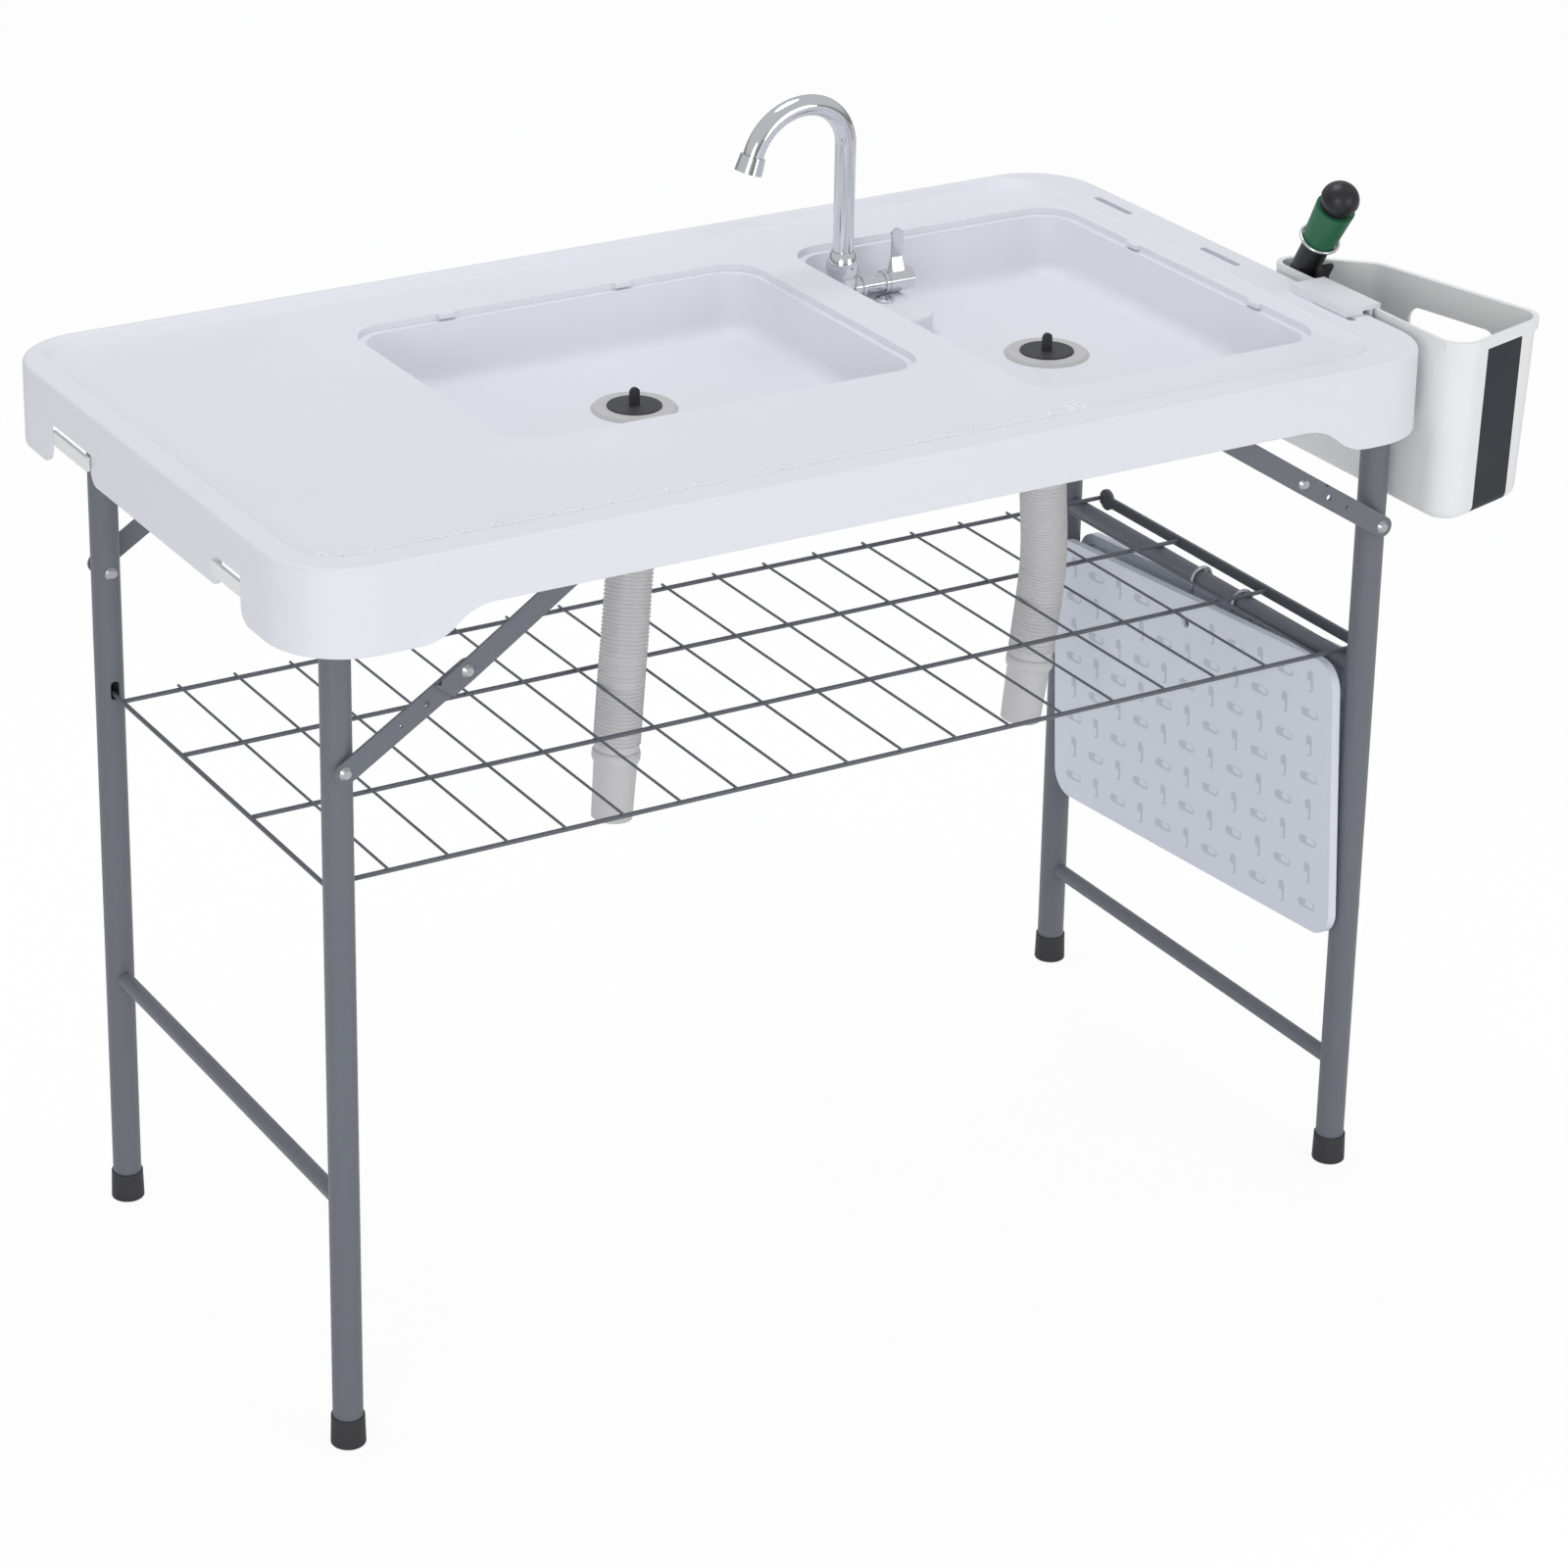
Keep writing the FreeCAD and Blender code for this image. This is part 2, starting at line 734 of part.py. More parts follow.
def leg(x, side, has_keyhole):
    """One leg tube, rounded at the top about its pivot, with a bolt hole and a keyhole for the shelf."""
    y = side * leg_y
    pivot = vec(x, y, pivot_z)
    across = Y_AXIS * (tube_radius + cut_over)
    tube = pipe(tube_radius, tube_wall, vec(x, y, foot_floor + seat_gap), pivot)
    crown = pipe(tube_radius, tube_wall, pivot, pivot + Z_AXIS * tube_radius)
    tube = tube.fuse(crown.common(rod(tube_radius, pivot - across, pivot + across)))
    tube = tube.cut(rod(pivot_pin_radius + pin_clearance, pivot - across, pivot + across))
    bolt_z = left_brace[0][1] if has_keyhole else right_brace[0][1]
    bolt = vec(x, y, bolt_z)
    tube = tube.cut(rod(rivet_radius + bolt_room, bolt - across, bolt + across))
    if has_keyhole:
        outside = y - side * (tube_radius + cut_over)
        middle = y - side * (tube_radius / 2)
        low = shelf_z - slot_drop + slot_radius
        high = shelf_z + slot_rise - slot_radius
        key = block(x - slot_radius, x + slot_radius, min(outside, middle), max(outside, middle), low, high)
        ends = [rod(slot_radius, vec(x, outside, z), vec(x, middle, z)) for z in (low, high)]
        tube = tube.cut(key.fuse(ends))
    return smooth(tube)


def foot(x, side):
    y = side * leg_y
    base = vec(x, y, 0)
    cap = Part.makeCone(foot_radius, foot_top_radius, foot_height, base)
    room = rod(tube_radius + seat_gap / 2, vec(x, y, foot_floor), vec(x, y, foot_height + cut_over))
    edge = [e for e in cap.Edges if e.BoundBox.ZMax < 0.01]
    return cap.makeFillet(foot_round, edge).cut(room)


def crossbar(x, z, radius):
    """Bar between the two legs of a frame, coped to their round sides."""
    bar = pipe(radius, tube_wall, vec(x, -leg_y, z), vec(x, leg_y, z))
    for side in (-1, 1):
        y = side * leg_y
        bar = bar.cut(rod(tube_radius + seat_gap, vec(x, y, z - tube_radius * 2), vec(x, y, z + tube_radius * 2)))
    middle = max(bar.Solids, key=lambda solid: solid.Volume)
    return middle


def saddle(x, side):
    """Folded bracket under the deck that holds the top of one leg."""
    y = side * leg_y
    half = tube_radius + saddle_gap
    top = deck_under - seat_gap
    shape = block(x - saddle_half, x + saddle_half, y - half - saddle_plate, y + half + saddle_plate,
                  pivot_z - saddle_drop, top)
    shape = shape.cut(block(x - saddle_half - cut_over, x + saddle_half + cut_over, y - half, y + half,
                            pivot_z - saddle_drop - cut_over, top - saddle_plate))
    return shape.cut(rod(pivot_pin_radius + pin_clearance, vec(x, y - half * 2, pivot_z), vec(x, y + half * 2, pivot_z)))


def pivot_pin(x, side):
    y = side * leg_y
    reach = tube_radius + saddle_gap + saddle_plate + seat_gap
    pin = rod(pivot_pin_radius, vec(x, y - reach, pivot_z), vec(x, y + reach, pivot_z))
    inner = y - side * reach
    return pin.fuse(rod(pivot_head_radius, vec(x, inner, pivot_z), vec(x, inner - side * pivot_head, pivot_z)))


# Braces: each link is drawn for the front and mirrored for the back

lower_link_y = -(leg_y + tube_radius + link_off_tube + link_plate)
upper_link_y = lower_link_y - link_clearance - link_plate
link_hole = rivet_radius + pin_clearance


def link_plate_between(a, b, y):
    """Flat bar with round ends between two points of the x and z plane, from y to y + link_plate."""
    start = vec(a[0], y, a[1])
    end = vec(b[0], y, b[1])
    across = (end - start).normalize().cross(Y_AXIS) * (link_width / 2)
    corners = [start + across, end + across, end - across, start - across]
    plate = Part.Face(Part.makePolygon(corners + corners[:1])).extrude(Y_AXIS * link_plate)
    return plate.fuse([rod(link_width / 2, place, place + Y_AXIS * link_plate) for place in (start, end)])


def link_drill(place, y, radius):
    """Tool for a hole along Y through the link that lies at y."""
    return rod(radius, vec(place[0], y - cut_over, place[1]), vec(place[0], y + link_plate + cut_over, place[1]))


def along(a, b, share):
    return (a[0] + (b[0] - a[0]) * share, a[1] + (b[1] - a[1]) * share)


def lower_link(leg_end, middle):
    """Link beside the leg, with its eyelet and pinhole."""
    plate = link_plate_between(leg_end, middle, lower_link_y)
    drills = [(leg_end, link_hole), (middle, link_hole)]
    drills.append((along(leg_end, middle, eyelet_share), eyelet_radius))
    drills.append((along(leg_end, middle, pinhole_share), pinhole_radius))
    return smooth(plate.cut([link_drill(place, lower_link_y, radius) for place, radius in drills]))


def upper_link(leg_end, middle, top):
    """Outer link, whose tail runs past the middle rivet and ends in a slanted stop with a notch."""
    plate = link_plate_between(middle, top, upper_link_y)
    start = vec(middle[0], upper_link_y, middle[1])
    way = vec(leg_end[0] - middle[0], 0, leg_end[1] - middle[1]).normalize()
    across = way.cross(Y_AXIS) * (link_width / 2)
    if across.z < 0:
        across = across * -1
    high_tip = start + across + way * tail_length_past
    low_tip = start - across + way * (tail_length_past - tail_slant)
    corners = [start + across, high_tip, low_tip, start - across]
    tail = Part.Face(Part.makePolygon(corners + corners[:1])).extrude(Y_AXIS * link_plate)
    wide, deep = tail_notch
    sink = across * (deep / (link_width / 2))
    mouth = start + across * (1 + seat_gap) + way * (tail_length_past - wide)
    notch_corners = [mouth, mouth + way * wide, mouth + way * (wide / 2) - sink]
    notch = Part.Face(Part.makePolygon(notch_corners + notch_corners[:1]))
    notch.translate(Y_AXIS * -cut_over)
    plate = plate.fuse(tail).cut(notch.extrude(Y_AXIS * (link_plate + cut_over * 2)))
    return smooth(plate.cut([link_drill(place, upper_link_y, link_hole) for place in (middle, top)]))


def dome(x, y, z, out):
    """Low domed rivet head that stands out from y."""
    return Part.makeCone(rivet_head_radius, rivet_head_radius * rivet_dome_share, rivet_head, vec(x, y, z), Y_AXIS * out)


def brace(name, frame_x, places):
    """Both folding braces of one frame, with their rivets and the bolts through the legs."""
    leg_end, middle, top = [(frame_x + dx, z) for dx, z in places]
    lower = lower_link(leg_end, middle)
    upper = upper_link(leg_end, middle, top)
    save(name + "_lower_links", lower, mirrored_y(lower))
    save(name + "_upper_links", upper, mirrored_y(upper))

    x, z = leg_end
    front = lower_link_y - seat_gap
    back = -(leg_y - tube_radius) + seat_gap
    bolt = rod(rivet_radius, vec(x, front, z), vec(x, back, z))
    spacer = rod(rivet_head_radius, vec(x, lower_link_y + link_plate + seat_gap, z),
                 vec(x, -(leg_y + tube_radius) - seat_gap, z))
    bolt = smooth(bolt.fuse([dome(x, front, z, -1), dome(x, back, z, 1), spacer]))
    save(name + "_leg_rivets", bolt, mirrored_y(bolt))

    x, z = middle
    front = upper_link_y - seat_gap
    back = lower_link_y + link_plate + seat_gap
    rivet = rod(rivet_radius, vec(x, front, z), vec(x, back, z))
    flat_head = rod(rivet_head_radius, vec(x, back, z), vec(x, back + back_head, z))
    rivet = smooth(rivet.fuse([dome(x, front, z, -1), flat_head]))
    save(name + "_middle_rivets", rivet, mirrored_y(rivet))

    x, z = top
    front = upper_link_y - link_clearance
    back = upper_link_y + link_plate + seat_gap
    pin = rod(rivet_radius, vec(x, front, z), vec(x, back, z))
    pin = smooth(pin.fuse(dome(x, back, z, 1)))
    save(name + "_top_rivets", pin, mirrored_y(pin))
    return top


def brace_bracket(x, z):
    """Tab under the deck, outside the upper link's eye."""
    back = upper_link_y - link_clearance - seat_gap
    front = back - bracket_plate
    top = deck_under - seat_gap
    tab = block(x - bracket_half, x + bracket_half, front, back, z - link_width / 2, top)
    flange = block(x - bracket_half, x + bracket_half, front - bracket_half, back, top - bracket_plate, top)
    return tab.fuse(flange)


# Shelf

def shelf_long_wires():
    tip_y = leg_y - tube_radius + shelf_tip
    end = right_x + end_bar_gap - seat_gap / 2
    wires = [rod(wire_radius, vec(left_x, -tip_y, shelf_z), vec(left_x, tip_y, shelf_z))]
    start = left_x + wire_radius + seat_gap / 2
    for y in long_wire_y:
        wires.append(rod(wire_radius, vec(start, y, shelf_z), vec(end, y, shelf_z)))
    return wires


def shelf_cross_wires():
    z = shelf_z + wire_radius + cross_wire_radius + seat_gap / 2
    low = min(long_wire_y) - wire_nub
    high = max(long_wire_y) + wire_nub
    wires = []
    for index in range(cross_wire_count):
        x = left_x + cross_wire_first + cross_wire_pitch * index
        wires.append(rod(cross_wire_radius, vec(x, low, z), vec(x, high, z)))
    return wires


def shelf_end_bar():
    x0 = right_x + end_bar_gap
    low = min(long_wire_y) - wire_nub
    high = max(long_wire_y) + wire_nub
    bar = block(x0, x0 + end_bar_plate, low, high, shelf_z - end_bar_drop, shelf_z + end_bar_rise)
    ear = rod(ear_radius, vec(x0, high - ear_radius, shelf_z), vec(x0 + end_bar_plate, high - ear_radius, shelf_z))
    stud = rod(stud_radius, vec(x0, high - ear_radius, shelf_z + stud_rise),
               vec(x0 + stud_out, high - ear_radius, shelf_z + stud_rise))
    return smooth(bar.fuse([ear, stud]))


# Hanging covers

def keyhole(place, depth):
    """Tool for a slanted slot along X: narrow where the hook's peg sits, wide at its lower end."""
    through = X_AXIS * depth
    wide_place = place - Y_AXIS * keyhole_length
    slot = block(place.x, place.x + depth, wide_place.y, place.y, place.z - keyhole_narrow, place.z + keyhole_narrow)
    ends = [rod(keyhole_narrow, place, place + through), rod(keyhole_wide, wide_place, wide_place + through)]
    return turned(slot.fuse(ends), place, X_AXIS, keyhole_slant)


def cover(side, y, hook_y, hook_drop):
    """Flat cover with a raised rim, hanging beside the upper bar. side is -1 inside, +1 outside."""
    length, height = cover_size
    face = tube_radius + cover_off_tube
    x0 = right_x + face if side > 0 else right_x - face - cover_rim
    top = upper_bar_z - hook_drop + cover_hang
    panel = Part.Face(round_outline(0, length, 0, height, cover_radius, 0)).extrude(vec(0, 0, cover_rim))
    pocket = round_block(cover_rim_width, length - cover_rim_width, cover_rim_width, height - cover_rim_width,
                         cover_plate, cover_rim + cut_over, cover_radius - cover_rim_width)
    panel = panel.cut(pocket)
    panel.rotate(vec(0, 0, 0), X_AXIS, 90)
    panel.rotate(vec(0, 0, 0), Z_AXIS, 90)
    if side > 0:
        panel = panel.mirror(vec(cover_rim / 2, 0, 0), X_AXIS)
    corner = vec(panel.BoundBox.XMin, panel.BoundBox.YMin, panel.BoundBox.ZMin)
    panel.translate(vec(x0, y - length / 2, top - height) - corner)
    hang = vec(x0, hook_y, top - cover_hang)
    panel.rotate(hang, X_AXIS, -cover_tilt)
    return panel.cut(keyhole(hang - X_AXIS * cut_over, cover_rim + cut_over * 2))


def cover_hook(side, y, hook_drop):
    """Bent wire over the upper bar, ending in a peg through the cover's keyhole."""
    bend = upper_bar_radius + hook_gap + hook_wire
    centre = vec(right_x, y, upper_bar_z)
    near = centre + vec(side * bend, 0, 0)
    far = centre - vec(side * bend, 0, 0)
    over = Part.makeTorus(bend, hook_wire, centre, Y_AXIS)
    reach = bend * 2
    over = over.common(block(right_x - reach, right_x + reach, y - bend, y + bend, upper_bar_z, upper_bar_z + reach))
    low = near - vec(0, 0, hook_drop)
    drop = rod(hook_wire, near, low)
    tail = rod(hook_wire, far, far - vec(0, 0, hook_tail))
    peg_reach = tube_radius + cover_off_tube + cover_rim - bend
    peg = rod(hook_wire, low, low + vec(side * peg_reach, 0, 0))
    ball = Part.makeSphere(hook_wire, low)
    return smooth(over.fuse([drop, tail, peg, ball]))


# Faucet

def faucet_body():
    """Base, body, shank with its hose spigot, and the valve's ringed barrel."""
    low = basin_floor + platform_height + seat_gap
    foot_place = vec(faucet_x, faucet_y, low)
    shank_low = foot_place - Z_AXIS * shank_length
    inlet_low = shank_low - Z_AXIS * inlet_length
    top = vec(faucet_x, faucet_y, faucet_body_top)
    base = rod(faucet_base_radius, foot_place, foot_place + Z_AXIS * faucet_base_height)
    base = base.makeFillet(faucet_base_round, flat_edges(base, low + faucet_base_height))
    barrel = rod(faucet_body_radius, foot_place, top)
    shank = rod(shank_radius, shank_low, foot_place)
    inlet = rod(inlet_radius, inlet_low, shank_low)
    valve = rod(valve_radius, vec(faucet_x, faucet_y, valve_z), vec(faucet_x + valve_end_x, faucet_y, valve_z))
    rings = [rod(valve_ring_radius, vec(faucet_x + start, faucet_y, valve_z), vec(faucet_x + end, faucet_y, valve_z))
             for start, end in valve_ring_places]
    bore = rod(water_bore, inlet_low - Z_AXIS * cut_over, top + Z_AXIS * cut_over)
    return smooth(base.fuse([barrel, shank, inlet, valve] + rings).cut(bore))


def faucet_nut():
    top = basin_floor + platform_height - basin_wall - seat_gap
    nut = rod(shank_nut_radius, vec(faucet_x, faucet_y, top - shank_nut_height), vec(faucet_x, faucet_y, top))
    return nut.cut(rod(shank_radius + seat_gap, vec(faucet_x, faucet_y, top - shank_nut_height - cut_over),
                       vec(faucet_x, faucet_y, top + cut_over)))


def collar_nut():
    """Bell shaped nut that holds the spout on the body."""
    low = faucet_body_top + seat_gap
    top = low + collar_height
    inner = spout_radius + seat_gap
    bulge = (collar_bulge_radius, low + collar_bulge_rise)
    edges = [line_between((inner, low), (collar_low_radius, low)),
             arc_between((collar_low_radius, low), bulge, (collar_top_radius, top)),
             line_between((collar_top_radius, top), (inner, top)),
             line_between((inner, top), (inner, low))]
    return lathe(faucet_x, faucet_y, edges)


def spout_path():
    """Riser, a tighter and then a wider bend, and a short end that leans inwards."""
    start = vec(faucet_x, faucet_y, faucet_body_top + seat_gap * 2)
    first = vec(faucet_x - spout_first_bend, faucet_y, spout_rise_z)

    def on_bend(centre, radius, degrees):
        angle = math.radians(degrees)
        return centre + vec(math.cos(angle), 0, math.sin(angle)) * radius

    joint = on_bend(first, spout_first_bend, spout_first_turn)
    second = on_bend(joint, -spout_second_bend, spout_first_turn)
    end = on_bend(second, spout_second_bend, spout_whole_turn)
    angle = math.radians(spout_whole_turn)
    way = vec(-math.sin(angle), 0, math.cos(angle))
    tip = end + way * spout_drop
    half_way = (spout_first_turn + spout_whole_turn) / 2
    edges = [Part.makeLine(start, on_bend(first, spout_first_bend, 0)),
             Part.Arc(on_bend(first, spout_first_bend, 0), on_bend(first, spout_first_bend, spout_first_turn / 2),
                      joint).toShape(),
             Part.Arc(joint, on_bend(second, spout_second_bend, half_way), end).toShape(),
             Part.makeLine(end, tip)]
    return start, Part.Wire(edges), tip, way


def spout():
    start, path, _, _ = spout_path()
    outer = Part.Wire(Part.Circle(start, Z_AXIS, spout_radius).toShape())
    inner = Part.Wire(Part.Circle(start, Z_AXIS, spout_radius - spout_wall).toShape())
    solid = path.makePipeShell([outer], True, False)
    hole = path.makePipeShell([inner], True, False)
    return solid.cut(hole)


def aerator():
    _, _, tip, way = spout_path()
    base = tip + way * seat_gap
    bore_radius = spout_radius - spout_wall
    body = Part.makeCone(aerator_top_radius, aerator_radius, aerator_length, base, way)
    inner = rod(bore_radius, base - way * cut_over, base + way * (aerator_length + cut_over))
    mesh_top, mesh_low = aerator_mesh
    mesh = rod(bore_radius + seat_gap, base + way * mesh_top, base + way * mesh_low)
    return smooth(body.cut(inner).fuse(mesh))


def faucet_lever():
    """Round hub at the valve's end, with a thin upright plate that flares at its foot."""
    x0 = faucet_x + valve_end_x + seat_gap
    hub = rod(lever_hub_radius, vec(x0, faucet_y, valve_z), vec(x0 + lever_hub, faucet_y, valve_z))
    x1 = x0 + lever_out
    half = lever_width / 2
    plate_half = lever_plate / 2
    corner = plate_half - seat_gap
    crown = vec(x1, faucet_y - plate_half, lever_top_z - half)
    plate = round_block(x1 - half, x1 + half, faucet_y - plate_half, faucet_y + plate_half, valve_z,
                        lever_top_z - half, corner)
    foot_length, foot_width = lever_foot
    low = (x1 - foot_length / 2, x1 + foot_length / 2, faucet_y - foot_width / 2, faucet_y + foot_width / 2, corner)
    high = (x1 - half, x1 + half, faucet_y - plate_half, faucet_y + plate_half, corner)
    foot = tapered_block(low, high, valve_z + lever_foot_low, valve_z + lever_foot_top)
    return smooth(hub.fuse([plate, foot, rod(half, crown, crown + Y_AXIS * lever_plate)]))


def grommet():
    """Ring on the platform where the spray hose comes up."""
    place = vec(grommet_x, grommet_y, basin_floor + platform_height + seat_gap)
    body = rod(grommet_radius, place, place + Z_AXIS * grommet_height)
    body = body.makeFillet(grommet_round, flat_edges(body, place.z + grommet_height))
    neck = rod(grommet_neck_radius, place - Z_AXIS * grommet_neck, place)
    bore = rod(grommet_bore, place - Z_AXIS * (grommet_neck + cut_over), place + Z_AXIS * (grommet_height + cut_over))
    return smooth(body.fuse(neck).cut(bore))


# Side basket

def basket_corners(z, inset):
    """Corners of the basket's plan at height z. Each side moves inwards by inset and, but for the inner one, its draft."""
    drop = (basket_top - z) / (basket_top - basket_bottom)
    sides = []
    for index, (x, y) in enumerate(basket_plan):
        after = basket_plan[(index + 1) % 4]
        way = vec(after[0] - x, after[1] - y, 0).normalize()
        inward = Z_AXIS.cross(way)
        draft = 0 if index == 3 else basket_draft * drop
        sides.append((vec(x, y, z) + inward * (inset + draft), way, inward))
    corners = []
    for index, (start, _, inward) in enumerate(sides):
        before, before_way, _ = sides[index - 1]
        reach = (start - before).dot(inward) / before_way.dot(inward)
        corners.append(before + before_way * reach)
    return corners


def basket_outline(z, inset):
    """Rounded outline of the basket at height z."""
    points = basket_corners(z, inset)
    ends = []
    for i, corner in enumerate(points):
        before = (points[i - 1] - corner).normalize()
        after = (points[(i + 1) % 4] - corner).normalize()
        half = before.getAngle(after) / 2
        radius = basket_radii[i] - inset
        reach = radius / math.tan(half)
        middle_way = (before + after).normalize()
        middle = corner + middle_way * (radius / math.sin(half) - radius)
        ends.append((corner + before * reach, middle, corner + after * reach))
    edges = []
    for i, (start, middle, end) in enumerate(ends):
        edges.append(Part.Arc(start, middle, end).toShape())
        edges.append(Part.makeLine(end, ends[(i + 1) % 4][0]))
    return Part.Wire(edges)


def basket_solid(inset, low, high):
    return Part.makeLoft([basket_outline(low, inset), basket_outline(high, inset)], True, True)


def basket_shell():
    outer = basket_solid(0, basket_bottom, basket_top)
    outer = outer.makeFillet(basket_low_round, flat_edges(outer, basket_bottom))
    lip = basket_solid(-lip_out, basket_top - lip_height, basket_top)
    lip_box = lip.BoundBox
    print("basket reach", round(lip_box.XMax, 2))
    lip = lip.common(block(basket_inner_x, lip_box.XMax, lip_box.YMin, lip_box.YMax, lip_box.ZMin, basket_top))
    floor = basket_bottom + basket_wall
    room = basket_solid(basket_wall, floor, basket_top + cut_over)
    room = room.makeFillet(basket_low_round - basket_wall, flat_edges(room, floor))
    half = grip_hole_length / 2
    grip = block(basket_plan[2][0] - basket_radii[2], lip_box.XMax, grip_hole_middle - half, grip_hole_middle + half,
                 grip_hole_z - grip_hole_height / 2, grip_hole_z + grip_hole_height / 2)
    edges = [e for e in grip.Edges if abs(e.tangentAt(e.FirstParameter).x) > 0.9]
    grip = grip.makeFillet(grip_hole_round, edges)
    return outer.fuse(lip).cut([room, grip])


def basket_slice(left, right, low, high):
    """Upright slab across the basket between two slanted lines, each given as its front and back x."""
    corners = [vec(left[0], band_front_y, low), vec(right[0], band_front_y, low), vec(right[1], 0, low),
               vec(left[1], 0, low)]
    return Part.Face(Part.makePolygon(corners + corners[:1])).extrude(Z_AXIS * (high - low))


def basket_pieces():
    """The shell cut into a frame of two halves joined at the rim, and a soft band between them."""
    shell = basket_shell()
    band_left, band_right = zip(band_front_x, band_back_x)
    low = basket_bottom - cut_over
    rim_low = basket_top - lip_height
    band_room = basket_slice(band_left, band_right, low, rim_low)
    band = shell.copy().common(band_room)
    frame = shell.copy().cut(band_room)
    return smooth(frame), smooth(band)


def basket_hook():
    """Flat plate over the table's rim, with a tongue in the rim's slot and a leg into the basket."""
    slot_x = half_length - rim_slot_edge
    low = rim_top + seat_gap
    plate = block(slot_x - tongue_plate, basket_inner_x + basket_wall + seat_gap + hook_plate, -hook_plate_front,
                  -hook_plate_back, basket_top + seat_gap, basket_top + seat_gap + hook_top_plate)
    tongue = block(slot_x - tongue_plate / 2, slot_x + tongue_plate / 2, -tongue_front, -tongue_back,
                   low - tongue_drop, basket_top + seat_gap + hook_plate / 2)
    outside = block(half_length + seat_gap * 3, half_length + seat_gap * 3 + hook_plate, -hook_plate_front,
                    -hook_plate_back, basket_top - hook_outside_drop, basket_top + seat_gap + hook_plate / 2)
    rest = block(slot_x - tongue_plate, half_length - recess_depth, -hook_plate_front, -hook_plate_back, low,
                 basket_top + seat_gap + hook_plate / 2)
    tip = block(basket_inner_x + basket_wall + seat_gap, basket_inner_x + basket_wall + seat_gap + hook_plate,
                -hook_plate_front, -hook_plate_back, basket_top - tongue_drop, basket_top + seat_gap + hook_plate / 2)
    return smooth(plate.fuse([tongue, outside, rest, tip]))


# Spray gun: its body stands in the basket, and its handle is built upright on the bend and leaned as a whole

def gun_body():
    """Black body and neck, with two cheeks and a pin that carry the trigger."""
    low = vec(*gun_low)
    bend = vec(*gun_bend)
    way = (bend - low).normalize()
    body_low = low + way * (gun_nozzle_length + seat_gap)
    body = rod(gun_body_radius, body_low, bend).fuse(Part.makeSphere(gun_neck_radius, bend))
    neck = rod(gun_neck_radius, bend, bend + Z_AXIS * gun_neck_length)
    hinge = gun_hinge()
    half = gun_trigger_width / 2 + gun_cheek_room
    pin = rod(gun_pin_radius, hinge - X_AXIS * (half + gun_cheek), hinge + X_AXIS * (half + gun_cheek))
    cheeks = []
    for side in (-1, 1):
        inner = hinge.x + side * half
        outer = inner + side * gun_cheek
        cheek = block(min(inner, outer), max(inner, outer), hinge.y, bend.y, hinge.z - gun_trigger_barrel,
                      hinge.z + gun_trigger_barrel)
        cheeks.append(cheek.fuse(rod(gun_trigger_barrel, vec(inner, hinge.y, hinge.z), vec(outer, hinge.y, hinge.z))))
    handle = neck.fuse([pin] + cheeks)
    return smooth(body.fuse(gun_leaned(handle))), rod(gun_nozzle_radius, low, low + way * gun_nozzle_length)


def gun_hinge():
    """Axis point of the trigger, before the handle is leaned."""
    bend = vec(*gun_bend)
    out = gun_neck_radius + gun_trigger_barrel + seat_gap
    return bend - Y_AXIS * out + Z_AXIS * gun_hinge_rise


def gun_leaned(shape):
    return turned(shape, vec(*gun_bend), X_AXIS, gun_lean)


def gun_trigger():
    hinge = gun_hinge()
    half = gun_trigger_width / 2
    barrel = rod(gun_trigger_barrel, hinge - X_AXIS * half, hinge + X_AXIS * half)
    front = hinge.y - gun_trigger_reach + gun_trigger_barrel
    face = block(hinge.x - half, hinge.x + half, front - gun_trigger_plate, front, hinge.z,
                 hinge.z + gun_trigger_length)
    root = block(hinge.x - half, hinge.x + half, front - gun_trigger_plate, hinge.y, hinge.z,
                 hinge.z + gun_trigger_barrel)
    bore = rod(gun_pin_radius + gun_pin_room, hinge - X_AXIS * (half + cut_over), hinge + X_AXIS * (half + cut_over))
    return smooth(barrel.fuse([face, root]).cut(bore))


def gun_cap(low):
    """Egg shaped cap that closes the handle's top."""
    rise = gun_cap_length * gun_cap_bulge_share
    top_z = low + gun_cap_length
    bulge = (gun_cap_radius, low + rise)
    top = (gun_cap_top_radius, top_z)
    shoulder_share = 0.8
    shoulder = (gun_cap_radius * shoulder_share, low + rise + (top_z - low - rise) * (1 - shoulder_share / 2))
    edges = [line_between((0, low), (gun_cap_low_radius, low)), line_between((gun_cap_low_radius, low), bulge),
             arc_between(bulge, shoulder, top), line_between(top, (0, top_z)), line_between((0, top_z), (0, low))]
    return lathe(gun_bend[0], gun_bend[1], edges)


def gun_pieces():
    bend = vec(*gun_bend)
    body, nozzle = gun_body()
    barrel_low = bend + Z_AXIS * (gun_neck_length + seat_gap)
    barrel = Part.makeCone(gun_barrel_low_radius, gun_barrel_radius, gun_barrel_length, barrel_low)
    cap = gun_cap(barrel_low.z + gun_barrel_length + seat_gap)
    taper = (gun_barrel_radius - gun_barrel_low_radius) / gun_barrel_length
    ring_radius = gun_barrel_low_radius + taper * (gun_ring_rise + gun_ring_wire) + seat_gap + gun_ring_wire
    wire = Part.makeTorus(ring_radius, gun_ring_wire, barrel_low + Z_AXIS * gun_ring_rise, Z_AXIS)
    return body, nozzle, gun_leaned(barrel), gun_leaned(cap), gun_leaned(gun_trigger()), gun_leaned(wire)


